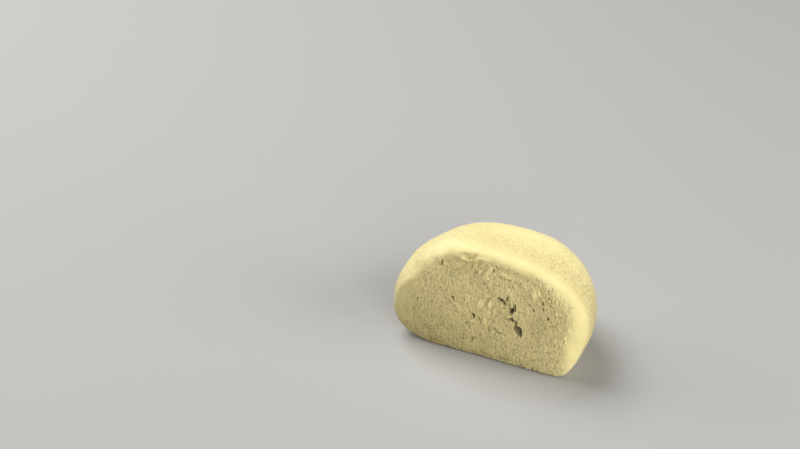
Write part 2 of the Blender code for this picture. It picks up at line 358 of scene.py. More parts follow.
# %% Grids and fans
def grid_quads(rows, columns, closed):
    """The four corner numbers of every cell of a grid; a closed grid joins its last column to its first."""
    row = np.arange(rows - 1)[:, None]
    column = np.arange(columns if closed else columns - 1)[None, :]
    beside = (column + 1) % columns
    here = row * columns
    below = here + columns
    cells = np.stack([here + column, here + beside, below + beside, below + column], axis=-1)
    return cells.reshape(-1, 4)


def fan(centre, ring):
    """Triangles from one point to every edge of a closed ring."""
    return np.stack([np.full(ring.shape, centre), ring, np.roll(ring, -1)], axis=-1)


def volume(points, triangles):
    """The sum over all triangles of (a cross b) dot c / 6."""
    a, b, c = (points[triangles[:, corner]] for corner in range(3))
    return float(np.einsum("ij,ij->", np.cross(a, b), c) / 6)


print("cells of a closed grid of 3 rings of 4 points:", len(grid_quads(3, 4, True)))


# %% Into Blender
def put_mesh(name, points, quads, triangles=None):
    """Makes an object from points, quads and triangles, faces pointing outwards, shaded smooth."""
    triangles = np.empty((0, 3), int) if triangles is None else triangles
    halves = np.concatenate([quads[:, [0, 1, 2]], quads[:, [0, 2, 3]], triangles])
    if volume(points, halves) < 0:
        quads = quads[:, ::-1]
        triangles = triangles[:, ::-1]
    mesh = bpy.data.meshes.new(name)
    mesh.vertices.add(len(points))
    mesh.vertices.foreach_set("co", points.astype(np.float32).ravel())
    mesh.loops.add(quads.size + triangles.size)
    mesh.loops.foreach_set("vertex_index", np.concatenate([quads.ravel(), triangles.ravel()]))
    sizes = np.concatenate([np.full(len(quads), 4), np.full(len(triangles), 3)])
    mesh.polygons.add(len(sizes))
    mesh.polygons.foreach_set("loop_start", np.concatenate([[0], np.cumsum(sizes)[:-1]]))
    mesh.update(calc_edges=True)
    mesh.validate()
    mesh.shade_smooth()
    made = bpy.data.objects.new(name, mesh)
    bpy.context.scene.collection.objects.link(made)
    return made


def paint(piece, name, values):
    """Stores one number for each point, which the materials read by this name."""
    layer = piece.data.attributes.new(name, "FLOAT", "POINT")
    layer.data.foreach_set("value", np.asarray(values, np.float32).ravel())


def keep_sharp(piece, numbers):
    """Keeps the edges between the points with these numbers as hard edges in the shading."""
    pairs = np.empty(len(piece.data.edges) * 2, np.int32)
    piece.data.edges.foreach_get("vertices", pairs)
    on_ring = np.isin(pairs.reshape(-1, 2), numbers).all(axis=1)
    layer = piece.data.attributes.new("sharp_edge", "BOOLEAN", "EDGE")
    layer.data.foreach_set("value", on_ring)


def triangle_count(piece):
    """How many triangles the faces of a piece make: each face has two fewer than it has corners."""
    return sum(len(face.vertices) - 2 for face in piece.data.polygons)


def outward(points):
    """Unit vectors square to a closed grid of points, from the cross product of its two directions."""
    down = np.gradient(points, axis=0)
    beside = (np.roll(points, -1, axis=1) - np.roll(points, 1, axis=1)) / 2
    square = np.cross(beside, down)
    square /= np.maximum(np.linalg.norm(square, axis=-1, keepdims=True), 1e-12)
    away = points - CORE
    return square * np.sign(np.einsum("...i,...i->...", square, away))[..., None]


# %% [markdown]
# ## The relief of the cut
# What the knife leaves in the filling is the face of this piece, so it is real height in the mesh and not
# only a bump in the material. It has five layers: a sunken band where the filling has shrunk away under the
# skin, lumps, smears and a curl that the blade dragged along, short creases and pores, the torn cavities,
# and a lowest edge that has lost crumbs. Each layer is a function of x and z, and they are added up. On the
# left the grain dies away slowly into the skin, elsewhere it stops sooner, and one mask, the porous mask,
# says how much of it shows. The marks of the blade are left whole, because it drew them over the joint too.

# %% Where the grain shows
MASK_NARROW = 0.9 * MM
MASK_RIGHT = 2.4 * MM
MASK_LEFT = 3.6 * MM
MASK_OUT = 0.6 * MM         # how far the grain runs on over the skin towards the rim
MASK_SHOULDER = 1.5 * MM    # how much further it does so at the right-hand shoulder
MASK_DOWN = 2.2 * MM        # and at the base
MASK_FAR_LEFT = 1.5 * MM    # and at the left-hand end
MASK_LOW = 0.7              # how much of the width on the left is lost low down
MASK_UNEVEN = 0.5 * MM
MASK_START = -0.7           # where the step begins, in widths of the step


def inset_of(x, z):
    """How far inside the edge of the filling a point of the cut lies; negative on the skin."""
    return -filling_form(x, np.zeros(np.shape(x)), z)


def porous(x, z):
    """1 on the porous filling and 0 on the smooth skin, with a soft step that is wide on the left."""
    low_down = 1 - fade(z, 3 * MM, 7 * MM)
    left = fade(-x, 6 * MM, 17 * MM)
    right = fade(x, 12 * MM, 20 * MM)
    width = MASK_NARROW + (MASK_LEFT - MASK_NARROW) * left * (1 - MASK_LOW * low_down)
    width = width + (MASK_RIGHT - MASK_NARROW) * right
    uneven = MASK_UNEVEN * wander(x, 0.0, z, size=1.3 * MM, seed=15)
    shoulder = MASK_SHOULDER * fade(x, 9 * MM, 16 * MM) * fade(z, 15 * MM, 21 * MM)
    far_left = MASK_FAR_LEFT * fade(-x, 10 * MM, 17 * MM) * (1 - fade(z, 14 * MM, 20 * MM))
    reached = inset_of(x, z) + MASK_OUT + MASK_DOWN * low_down + shoulder + far_left + uneven
    return fade(reached, MASK_START * width, width)


print("porous at the middle of the cut:", float(porous(np.array([0.0]), np.array([15 * MM]))[0]))


# %% Places of the lumps and strokes
# Lumps and hollows: centre x, z, reach sideways, upwards and downwards, and height, in mm
LUMPS = (
    (-1.80, 15.8, 0.60, 0.62, 1.10, 0.74),
    (1.15, 16.3, 0.56, 0.62, 1.10, 0.76),
    (-0.20, 11.1, 0.50, 0.62, 1.00, 0.84),
    (4.50, 16.8, 0.55, 0.60, 0.60, 0.36),
    (12.80, 22.2, 0.62, 1.10, 1.10, 0.62),
    (12.70, 24.8, 1.00, 0.50, 0.50, -0.22),
    (-0.90, 28.4, 1.30, 0.50, 0.50, 0.26),
    (-3.00, 24.0, 3.00, 2.20, 2.20, 0.16),
    (6.10, 21.0, 2.00, 1.20, 1.20, 0.18),
    (5.30, 15.6, 1.00, 1.50, 1.50, 0.20),
    (-5.00, 7.6, 1.40, 1.10, 1.10, 0.18),
    (-0.20, 13.6, 1.00, 0.80, 0.80, 0.16),
    (2.40, 12.6, 0.80, 0.90, 0.90, 0.22),
    (3.50, 24.7, 0.90, 0.60, 0.60, -0.12),
    (6.00, 23.7, 0.45, 0.90, 0.90, -0.20),
    (8.20, 25.9, 1.60, 0.50, 0.50, -0.22),
)

# Ridges that the blade dragged up (+) and creases (-): from x, z to x, z, then half width and height, in mm
STROKES = (
    (-0.55, 17.6, 0.00, 18.6, 0.42, 0.36),
    (0.00, 18.6, 0.75, 18.7, 0.42, 0.34),
    (0.75, 18.7, 1.25, 17.6, 0.38, 0.24),
    (0.60, 17.7, -0.50, 15.6, 0.38, -0.30),
    (1.30, 14.8, 1.70, 11.0, 0.42, -0.20),
    (-0.95, 15.2, -1.25, 13.0, 0.40, -0.18),
    (2.25, 13.9, 2.45, 15.2, 0.28, 0.22),
    (-3.70, 10.1, -2.70, 9.9, 0.42, 0.42),
    (-3.05, 10.3, -3.00, 11.0, 0.28, 0.24),
    (4.30, 13.9, 5.90, 13.85, 0.34, 0.24),
    (3.60, 9.2, 4.30, 9.3, 0.36, 0.28),
    (-9.60, 14.9, -8.70, 14.2, 0.26, 0.26),
    (-8.70, 14.2, -7.70, 13.5, 0.28, 0.34),
    (-7.70, 13.5, -6.60, 12.1, 0.26, 0.28),
    (-5.60, 14.6, -5.20, 16.3, 0.24, 0.30),
    (-5.20, 16.3, -4.60, 17.0, 0.24, 0.20),
    (-9.80, 11.3, -8.70, 10.4, 0.26, -0.28),
    (-1.50, 26.8, -1.05, 27.4, 0.30, 0.38),
    (-0.10, 24.7, 1.00, 26.6, 0.44, 0.42),
    (2.45, 27.3, 2.85, 25.8, 0.40, -0.22),
    (-1.85, 24.7, -1.70, 25.3, 0.26, 0.34),
    (-2.25, 27.4, -2.35, 25.8, 0.34, -0.22),
    (-0.60, 23.4, 0.50, 23.6, 0.42, 0.38),
    (3.30, 27.0, 5.50, 26.5, 0.46, -0.28),
    (3.60, 25.8, 5.30, 25.6, 0.44, 0.26),
    (5.30, 25.6, 6.80, 24.8, 0.38, 0.13),
    (2.80, 28.3, 2.90, 27.7, 0.20, 0.16),
    (8.50, 24.8, 9.20, 25.2, 0.30, 0.28),
    (10.00, 16.8, 11.70, 16.8, 0.22, 0.24),
    (11.30, 16.8, 11.80, 16.9, 0.26, 0.26),
    (14.20, 23.9, 14.65, 23.2, 0.30, -0.38),
    (14.65, 23.2, 15.20, 23.2, 0.28, -0.32),
    (14.50, 24.4, 14.90, 25.6, 0.28, -0.20),
    (18.90, 19.1, 19.20, 18.5, 0.24, 0.42),
    (19.20, 18.5, 19.60, 17.8, 0.24, 0.40),
    (19.65, 18.9, 20.10, 18.75, 0.22, 0.34),
    (20.10, 18.75, 20.25, 18.2, 0.22, 0.30),
    (19.75, 18.2, 19.70, 17.6, 0.20, -0.38),
    (21.45, 11.8, 21.50, 12.5, 0.20, 0.34),
    (21.55, 10.6, 21.60, 11.0, 0.20, 0.24),
    (17.50, 15.5, 18.00, 14.8, 0.24, -0.26),
    (-17.20, 2.7, -16.60, 3.5, 0.24, 0.30),
    (-12.90, 3.4, -12.60, 4.4, 0.26, 0.20),
    (-7.55, 1.9, -7.45, 2.3, 0.22, 0.34),
    (-6.90, 1.2, -6.90, 2.8, 0.24, 0.30),
    (-16.50, 16.8, -16.10, 15.4, 0.20, -0.12),
    (-14.60, 12.1, -13.00, 10.6, 0.24, 0.10),
    (16.80, 7.8, 15.90, 6.4, 0.24, 0.10),
)

print("lumps and hollows:", len(LUMPS), "strokes of the blade:", len(STROKES))


# %% Lumps, strokes and the curl
FOLD_CENTRE = (-4.89, 31.16)      # the curl lies on arcs about this x and z, in mm
FOLD_MIDDLE = (0.218, -0.976)     # the direction from there to the middle of the arcs
FOLD_LIP = 0.44 * MM
FOLD_LIP_RADIUS = 3.85 * MM
FOLD_LIP_WIDTH = 0.27 * MM
FOLD_HOLLOW = 0.42 * MM
FOLD_HOLLOW_RADIUS = 2.78 * MM
FOLD_HOLLOW_WIDTH = 0.42 * MM


def lump_height(x, z):
    """The sum of the bells in the list of lumps."""
    total = np.zeros(np.shape(x))
    for centre_x, centre_z, sideways, upwards, downwards, height in LUMPS:
        off_z = z - centre_z * MM
        away_x = (x - centre_x * MM) / (sideways * MM)
        away_z = off_z / (np.where(off_z > 0, upwards, downwards) * MM)
        total += height * MM * np.exp(-(away_x**2) - away_z**2)
    return total


def stroke(x, z, from_x, from_z, to_x, to_z, half_width, height):
    """A bell across a straight line: the distance is taken to the nearest point between its two ends."""
    run_x = to_x - from_x
    run_z = to_z - from_z
    off_x = x - from_x
    off_z = z - from_z
    along = np.clip((off_x * run_x + off_z * run_z) / (run_x**2 + run_z**2), 0, 1)
    distance = np.hypot(off_x - along * run_x, off_z - along * run_z)
    return height * bell(distance, half_width)


def fold_height(x, z):
    """A curl of filling under the top skin: a low lip along an arc, and a hollow along a smaller arc."""
    off_x = x - FOLD_CENTRE[0] * MM
    off_z = z - FOLD_CENTRE[1] * MM
    radius = np.hypot(off_x, off_z)
    along = (FOLD_MIDDLE[0] * off_x + FOLD_MIDDLE[1] * off_z) / radius
    lip_ends = fade(along, 0.69, 0.81)
    hollow_ends = fade(along, 0.60, 0.95)
    below_top = 1 - fade(z, 29.0 * MM, 30.2 * MM)
    lip_part = FOLD_LIP * bell(radius - FOLD_LIP_RADIUS, FOLD_LIP_WIDTH) * lip_ends
    hollow = FOLD_HOLLOW * bell(radius - FOLD_HOLLOW_RADIUS, FOLD_HOLLOW_WIDTH) * hollow_ends
    return lip_part - hollow * below_top


def marks(x, z):
    """All the single marks of the knife: lumps, ridges, creases and the curl."""
    total = lump_height(x, z) + fold_height(x, z)
    for from_x, from_z, to_x, to_z, half_width, rise in STROKES:
        ends = (from_x * MM, from_z * MM, to_x * MM, to_z * MM)
        total = total + stroke(x, z, *ends, half_width * MM, rise * MM)
    return total


# %% The sunken band and the worn foot
BAND_DEPTH = 0.2 * MM
BAND_INSET = 1.2 * MM
BAND_WIDTH = 1.3 * MM
BAND_FROM = 22.0 * MM
BAND_FULL = 27.0 * MM
BAND_BROKEN = 0.5           # how much its depth wanders
FOOT_WORN = 0.26 * MM
FOOT_EVEN = 0.5             # shares of the wear: even, coarse and fine
FOOT_COARSE = 0.5
FOOT_FINE = 0.35


def sunken_band(x, z):
    """The trough where the filling has sunk under the top of the skin, broken up by wandering."""
    inset = inset_of(x, z)
    broken = 1 + BAND_BROKEN * wander(x, 0.0, z, size=1.6 * MM, seed=21)
    high = fade(z, BAND_FROM, BAND_FULL)
    return -BAND_DEPTH * high * broken * bell(inset - BAND_INSET, BAND_WIDTH)


def worn_foot(x, z):
    """How far crumbs have broken away along the lowest edge: a ragged depth that fades out upwards."""
    coarse = wander(x, 0.0, z, size=1.1 * MM, seed=71)
    fine = wander(x, 0.0, z, size=0.4 * MM, seed=72)
    ragged = FOOT_EVEN + FOOT_COARSE * coarse + FOOT_FINE * fine
    return FOOT_WORN * ragged * (1 - fade(z, 0.3 * MM, 1.8 * MM))


print("wear at the foot of the middle, in mm:", round(float(worn_foot(0.0, 0.0)) / MM, 2))

# %% [markdown]
# ## Pores and short creases
# The filling is full of small pores, and between them the knife has left short creases, most of them
# upright. A noise in the material could darken them, but it wouldn't break the edge of a cavity or catch the
# light from another side, so both are height. The pores are also painted darker, the deeper the darker, which
# is painted shade. A grid with one draw for each square spreads the pores evenly without a search for free
# places, and the creases fall anywhere.

# %% Pores
PORE_SQUARES = 128          # squares each way before the pores repeat
CROWDED = (15.5 * MM, 20.0 * MM)    # where the pores lie closest, near the right-hand shoulder of the cut
CROWDED_REACH = 4.6 * MM


def pores(x, z, spacing, chance, length, width, depth, seed):
    """Small pits, taller than they are wide, one in some of the squares of a grid.

    Each square draws whether it has a pit, where, how large and how deep. A point looks at the pits of the
    nine squares round it, and takes the deepest: depth times (1 - r squared) squared, where r is the
    distance in pit sizes.
    """
    rng = np.random.default_rng(seed)
    draws = rng.uniform(0, 1, (6, PORE_SQUARES, PORE_SQUARES))
    cell_x = np.floor(x / spacing).astype(int)
    cell_z = np.floor(z / spacing).astype(int)
    deepest = np.zeros(np.shape(x))
    for step_x, step_z in product((-1, 0, 1), repeat=2):
        at_x = cell_x + step_x
        at_z = cell_z + step_z
        drawn = draws[:, at_x % PORE_SQUARES, at_z % PORE_SQUARES]
        there, offset_x, offset_z, size, lean, strength = drawn
        off_x = x - (at_x + offset_x) * spacing
        off_z = z - (at_z + offset_z) * spacing
        off_x = off_x + (lean - 0.5) * off_z
        grown = 0.55 + 0.9 * size
        reach = np.hypot(off_x / (width * grown), off_z / (length * grown))
        sunk = 0.4 + 0.6 * strength
        pit = np.clip(1 - reach**2, 0, 1) ** 2 * depth * sunk * (there < chance)
        deepest = np.maximum(deepest, pit)
    return deepest


def crowding(x, z):
    """1 where the pores lie closest, falling off to 0 round it."""
    return bell(np.hypot(x - CROWDED[0], z - CROWDED[1]), CROWDED_REACH)


beside = crowding(CROWDED[0] - 5 * MM, CROWDED[1])
print("crowding at the shoulder:", crowding(*CROWDED), "and 5 mm beside it:", beside.round(2))


# %% Creases
CREASES = 300
CREASE_X = (-21, 22)                # where their middles fall, in mm
CREASE_Z = (2, 29)
CREASE_LENGTH = (0.3, 1.1)          # in mm, from and to
CREASE_HALF_WIDTH = (0.13, 0.28)
CREASE_LEAN = (90, 38)              # average and spread in degrees
CREASE_HEIGHT = (0, 0.07)           # average and spread in mm
CREASE_FIELD = 1.6 * MM             # no crease is felt farther from its middle than this


def crease_field(x, z):
    """Short ridges and creases at random places, most of them upright as the knife went down."""
    rng = np.random.default_rng(seed=8)
    total = np.zeros(np.shape(x))
    for _ in range(CREASES):
        middle_x = rng.uniform(*CREASE_X) * MM
        middle_z = rng.uniform(*CREASE_Z) * MM
        length = rng.uniform(*CREASE_LENGTH) * MM
        lean = rng.normal(*CREASE_LEAN)
        height = rng.normal(*CREASE_HEIGHT) * MM
        half_width = rng.uniform(*CREASE_HALF_WIDTH) * MM
        run_x = math.cos(math.radians(lean)) * length / 2
        run_z = math.sin(math.radians(lean)) * length / 2
        near = (np.abs(x - middle_x) < CREASE_FIELD) & (np.abs(z - middle_z) < CREASE_FIELD)
        ends = (middle_x - run_x, middle_z - run_z, middle_x + run_x, middle_z + run_z)
        total[near] += stroke(x[near], z[near], *ends, half_width, height)
    return total


# %% [markdown]
# ## The torn cavities
# A knife tears a soft filling open where there was air in it. Each cavity is a bowl with a ragged outline,
# and its depth is the depth times the root of (1 - r squared), so its wall drops steeply from a crisp edge.
# A Boolean would do this too, but the height of a fine grid keeps the surface in one sheet that can carry
# pores right up to the edge. A slant puts the deepest point near one end. Each cavity also says how
# much painted shade it gets, the more the deeper it is, which stands for the shade inside it.

# %% Places of the cavities
# Centre x, z, half length, half width in mm, lean in degrees, depth in mm, slant
CAVITIES = (
    (7.05, 15.95, 1.00, 0.72, 92, 3.2, 0.0),
    (8.00, 16.60, 0.52, 0.45, 0, 0.9, 0.0),
    (7.85, 17.35, 1.10, 0.52, 68, 0.8, 0.0),
    (6.60, 17.50, 0.42, 0.28, -55, 0.6, 0.0),
    (4.20, 18.50, 0.95, 0.58, -4, 1.2, 0.0),
    (5.10, 17.85, 0.80, 0.48, -50, 1.0, 0.0),
    (5.80, 19.20, 0.95, 0.32, 66, 0.7, 0.0),
    (5.90, 18.00, 0.75, 0.24, 95, 0.35, 0.0),
    (5.75, 13.25, 0.95, 0.32, -8, 0.6, 0.3),
    (7.20, 13.40, 0.80, 0.60, -12, 1.3, 0.0),
    (8.35, 13.00, 0.48, 0.42, -40, 0.9, 0.0),
    (8.25, 12.20, 0.60, 0.40, 90, 1.0, 0.0),
    (8.95, 10.85, 1.70, 1.15, -72, 1.4, 0.0),
    (9.80, 10.25, 0.75, 0.46, -80, 3.0, 0.0),
    (9.00, 9.55, 0.50, 0.30, 95, 0.9, 0.0),
    (9.75, 9.45, 0.50, 0.28, 95, 1.0, 0.0),
    (-3.50, 11.95, 0.50, 0.38, 95, 1.0, 0.0),
    (-3.05, 11.60, 0.68, 0.44, 75, 1.5, 0.0),
    (-1.85, 11.25, 0.64, 0.34, -16, 0.45, 0.0),
    (-12.20, 24.55, 0.90, 0.26, 72, 0.8, 0.0),
    (-5.05, 9.00, 0.90, 0.38, 22, 0.45, 0.0),
    (3.60, 8.85, 0.46, 0.38, -30, 0.8, 0.0),
    (4.15, 8.78, 0.56, 0.32, 5, 0.7, 0.0),
    (2.75, 9.60, 0.46, 0.28, -60, 0.45, 0.0),
    (1.20, 8.75, 0.46, 0.34, 90, 0.5, 0.0),
    (1.15, 9.60, 0.46, 0.26, 90, 0.4, 0.0),
    (1.90, 26.15, 0.56, 0.44, 20, 0.6, 0.0),
    (-3.45, 4.60, 0.75, 0.24, 82, 0.6, 0.0),
    (-2.60, 5.15, 0.65, 0.22, -12, 0.5, 0.0),
)

# Small pits: centre x, z, half length, half width in mm, lean in degrees, depth in mm
PITS = (
    (-9.00, 15.40, 0.44, 0.40, 0, 0.8),
    (-12.50, 17.40, 0.40, 0.24, 90, 0.6),
    (-5.50, 26.20, 0.46, 0.34, 80, 0.35),
    (-2.45, 24.60, 0.40, 0.32, 0, 0.5),
    (-3.00, 24.70, 0.32, 0.26, 0, 0.4),
    (-7.80, 24.20, 0.42, 0.24, 90, 0.35),
    (-7.00, 24.50, 0.40, 0.28, 80, 0.35),
    (-3.20, 23.30, 0.36, 0.24, 80, 0.4),
    (-0.50, 21.90, 0.46, 0.34, 65, 0.5),
    (0.45, 20.90, 0.42, 0.28, 80, 0.4),
    (-2.60, 20.80, 0.40, 0.28, 90, 0.4),
    (-4.50, 20.80, 0.40, 0.25, 90, 0.35),
    (2.00, 20.90, 0.40, 0.25, 80, 0.22),
    (-7.30, 23.00, 0.40, 0.25, 85, 0.4),
    (-3.15, 22.00, 0.36, 0.25, 90, 0.35),
    (16.70, 22.40, 0.40, 0.34, 0, 0.6),
    (17.50, 21.90, 0.34, 0.26, 0, 0.4),
    (15.35, 20.45, 0.42, 0.38, 90, 0.7),
    (15.50, 18.85, 0.46, 0.38, 30, 0.6),
    (14.42, 19.20, 0.36, 0.24, 90, 0.45),
    (11.75, 19.00, 0.36, 0.28, 90, 0.5),
    (12.90, 17.95, 0.42, 0.30, 90, 0.8),
    (17.30, 20.25, 0.36, 0.30, 0, 0.5),
    (17.90, 20.15, 0.34, 0.28, 60, 0.5),
    (17.30, 19.10, 0.34, 0.28, 0, 0.4),
    (18.30, 19.20, 0.34, 0.24, 0, 0.35),
    (16.85, 16.50, 0.55, 0.34, 62, 0.9),
    (13.80, 15.30, 0.34, 0.20, 90, 0.35),
    (-5.85, 5.30, 0.36, 0.28, 60, 0.5),
    (-5.95, 4.20, 0.36, 0.28, 90, 0.5),
    (-18.90, 12.20, 0.46, 0.22, 85, 0.4),
    (-17.90, 11.00, 0.34, 0.28, 0, 0.4),
    (-14.70, 13.10, 0.46, 0.20, 90, 0.4),
    (-13.50, 5.90, 0.46, 0.24, 62, 0.4),
    (-15.70, 4.30, 0.36, 0.28, 0, 0.4),
    (12.60, 5.40, 0.36, 0.20, 90, 0.4),
    (11.20, 4.70, 0.34, 0.26, 40, 0.35),
)
print("cavities:", len(CAVITIES), "small pits:", len(PITS))


# %% The depth of the cavities
RAGGED = 0.20
RAGGED_SIZE = 0.75 * MM
RAGGED_FINER = 2.6          # how many times finer the second raggedness is
CAVITY_FIELD = 2.2          # how far from its centre a cavity is worked out, in half lengths
TORN_LIP = 0.10 * MM
TORN_LIP_AT = 1.15          # where the lip stands, in cavity sizes
TORN_LIP_WIDTH = 0.16
TORN_LIP_FROM = 2           # cavities this many mm deep have the whole lip, shallower ones less
DARK_FROM = 1.1             # cavities this many mm deep get the most painted shade, shallower ones less
DARK_POWER = 1.25


def cavity_reach(x, z, centre_x, centre_z, half_length, half_width, lean):
    """Distance from a cavity's centre in cavity sizes, made ragged, and how far along its length that is."""
    turn = math.radians(lean)
    off_x = x - centre_x * MM
    off_z = z - centre_z * MM
    along = (off_x * math.cos(turn) + off_z * math.sin(turn)) / (half_length * MM)
    across = (off_z * math.cos(turn) - off_x * math.sin(turn)) / (half_width * MM)
    coarse = wander(x, 0.0, z, RAGGED_SIZE, seed=31)
    fine = wander(x, 0.0, z, RAGGED_SIZE / RAGGED_FINER, seed=32)
    ragged = coarse + fine / 2
    return np.hypot(along, across) * (1 + RAGGED * ragged), along


def cavity_field(x, z):
    """The depth of the deepest cavity at each point, the height of its torn lip, and how much painted shade it
    gets.
    """
    deepest = np.zeros(np.shape(x))
    raised = np.zeros(np.shape(x))
    shade_inside = np.zeros(np.shape(x))
    holes = [*CAVITIES, *((*pit, 0.0) for pit in PITS)]
    for centre_x, centre_z, half_length, half_width, lean, depth, slant in holes:
        span = CAVITY_FIELD * half_length * MM
        near = (np.abs(x - centre_x * MM) < span) & (np.abs(z - centre_z * MM) < span)
        reach, along = cavity_reach(x[near], z[near], centre_x, centre_z, half_length, half_width, lean)
        bowl = depth * MM * np.sqrt(np.clip(1 - reach**2, 0, 1)) * (1 + slant * along)
        deepest[near] = np.maximum(deepest[near], bowl)
        torn = TORN_LIP * bell(reach - TORN_LIP_AT, TORN_LIP_WIDTH) * min(1, depth / TORN_LIP_FROM)
        raised[near] = np.maximum(raised[near], torn)
        # Painted shade inside the cavity, the more the deeper it is
        inside = fade(1 - reach, -0.02, 0.15)
        shade_inside[near] = np.maximum(shade_inside[near], inside * min(1, (depth / DARK_FROM) ** DARK_POWER))
    return deepest, np.where(deepest > 0, 0, raised), shade_inside


# %% All the relief together
SEAM_CALM = 0.6             # how much of the grain is left out along the joint of skin and filling
SEAM_WIDTH = 0.25 * MM
SOFT_CORNER = 0.35          # and at the lower right, where the blade left the filling smoother
DARK_AT = 0.5 * MM          # a pore this deep gets as much painted shade as a pore gets
DARK_AT_LARGE = 0.6 * MM
DARKEST_PORE = 0.75

# Layers of unevenness: height in mm, size in mm, how many times it is drawn out upwards, seed
BROAD_GRAIN = (
    (0.09, 2.6, 1.0, 11),
    (0.07, 1.1, 1.0, 12),
)
FINE_GRAIN = (
    (0.07, 0.36, 2.0, 13),
    (0.07, 0.25, 1.6, 14),
)


def layered(x, y, z, layers):
    """The sum of the layers: each is its height times the wandering of its size, drawn out upwards."""
    total = 0.0
    for height, size, drawn_out, seed in layers:
        total = total + height * wander(x, y, z / drawn_out, size * MM, seed)
    return total


def face_relief(x, z):
    """How far the cut stands forward of its plain surface, and how much painted shade its pits and cavities
    get.
    """
    shows = porous(x, z)
    grain_layers = layered(x, 0.0, z, BROAD_GRAIN) + layered(x, 0.0, z, FINE_GRAIN)
    crowd = crowding(x, z)
    small = pores(
        x, z, spacing=0.56 * MM, chance=0.55 + 0.3 * crowd,
        length=0.25 * MM, width=0.14 * MM, depth=0.19 * MM, seed=41,
    )
    large = pores(
        x, z, spacing=1.7 * MM, chance=0.2, length=0.36 * MM, width=0.20 * MM, depth=0.30 * MM, seed=42
    )
    open_pits = pores(
        x, z, spacing=0.95 * MM, chance=0.5 * crowd,
        length=0.24 * MM, width=0.17 * MM, depth=0.32 * MM, seed=43,
    )
    pit = np.maximum(np.maximum(small, large), open_pits)
    deep, raised, hole_shade = cavity_field(x, z)
    softer = SOFT_CORNER * fade(x, 8 * MM, 13 * MM) * (1 - fade(z, 10 * MM, 15 * MM))
    calm = (1 - SEAM_CALM * bell(inset_of(x, z), SEAM_WIDTH)) * (1 - softer)
    grain_height = grain_layers * MM + crease_field(x, z) - pit + raised
    height = calm * shows * grain_height + marks(x, z) + sunken_band(x, z) - worn_foot(x, z) - deep
    # Painted shade: pores and cavities are darkened in colour, the deeper the darker
    painted_pore_shade = np.maximum(np.maximum(small / DARK_AT, large / DARK_AT_LARGE), open_pits / DARK_AT)
    pore_shade_share = np.clip(DARKEST_PORE * calm * shows * painted_pore_shade, 0, 1)
    return height, np.maximum(pore_shade_share, hole_shade)


# %% [markdown]
# The cut is painted darker towards its base, more on the left than on the right, and so is the outside of the
# skin from the waist down: this is painted shade. Just above the base a mottled line is partly the skin's own
# darker band and partly painted shade, and a patch at the right is painted darker. None of this is a form, so
# it is stored as one number for each point and the materials read it.


# %% Painted shade at the foot
# Painted shade: the cut darker towards its foot and its left, the outside darker from the waist down
SHADE_FOOT = 0.5
SHADE_HEIGHT = 9.5 * MM
LESS_SHADE_RIGHT = 0.9           # how much less of it there is at the right-hand end
SHADE_FAR_LEFT = 0.18
BASE_BAND_AND_SHADE = 0.5             # a mottled line just above the base: partly the skin's darker band, partly painted shade
BASE_BAND_AT = 1.3 * MM
BASE_BAND_WIDTH = 0.9 * MM
DARKER_PATCH = 0.42           # a darker patch at the right
PATCH_AT = (14.2 * MM, 12 * MM)
PATCH_REACH = 2.4 * MM
PATCH_TALLER = 1.6          # how many times taller than wide it is
SHADE_OUTSIDE = 0.45
MOTTLES = (
    (1.0, 1.5, 1.0, 61),
    (0.5, 0.6, 1.0, 62),
)


def shade_and_band_cut(x, z):
    """How much the cut is darkened: painted shade at the foot and left, a band-and-shade edge, a patch at the
    right.
    """
    up = SHADE_FOOT * bell(z, SHADE_HEIGHT)
    left = 1 - LESS_SHADE_RIGHT * fade(x, -14 * MM, 24 * MM)
    far_left = SHADE_FAR_LEFT * (1 - fade(x, -16 * MM, 0.0)) * (1 - fade(z, 15 * MM, 21 * MM))
    mottled = fade(layered(x, 0.0, z, MOTTLES), -0.5, 0.6)
    between_ends = fade(x, -17 * MM, -13 * MM) * (1 - fade(x, 9 * MM, 14 * MM))
    edge = bell(z - BASE_BAND_AT, BASE_BAND_WIDTH) * between_ends
    from_patch = np.hypot(x - PATCH_AT[0], (z - PATCH_AT[1]) / PATCH_TALLER)
    patch = DARKER_PATCH * bell(from_patch, PATCH_REACH)
    return up * left + far_left + BASE_BAND_AND_SHADE * edge * mottled + patch


def painted_shade_outside(z):
    """Painted shade on the outside of the skin: nothing on top, most from the waist down."""
    return SHADE_OUTSIDE * (1 - fade(z, 13 * MM, 23 * MM))


shade_ends = shade_and_band_cut(np.array([-18 * MM, 18 * MM]), np.array([2 * MM, 2 * MM]))
print("damp near the base, at the left and the right:", shade_ends.round(2))

# %% [markdown]
# ## The filling
# The face of the filling is a slice with a rounded outline. Rings round a middle point would crowd the grid
# there and starve the edge, so a square grid is bent to the outline instead: the square becomes a disc, the
# disc an ellipse, and the ellipse swells to the true outline towards its edge. The cells stay nearly square
# everywhere, a little over a tenth of a millimetre wide, which is fine enough for the pores.

# %% The face of the filling
FACE_COLUMNS = 400
FACE_ROWS = 208
FACE_MIDDLE = (0.4 * MM, 15.4 * MM)
FACE_REACH = (22.0 * MM, 14.2 * MM)
LIP_SAMPLES = 2400
CUT_BETWEEN = (-1.0 * MM, 8.0 * MM)     # the plain cut is looked for between these depths


def square_to_disc(u, v):
    """A point of the square from -1 to 1 moved into the unit disc: u times root (1 - v squared / 2)."""
    return u * np.sqrt(1 - v**2 / 2), v * np.sqrt(1 - u**2 / 2)


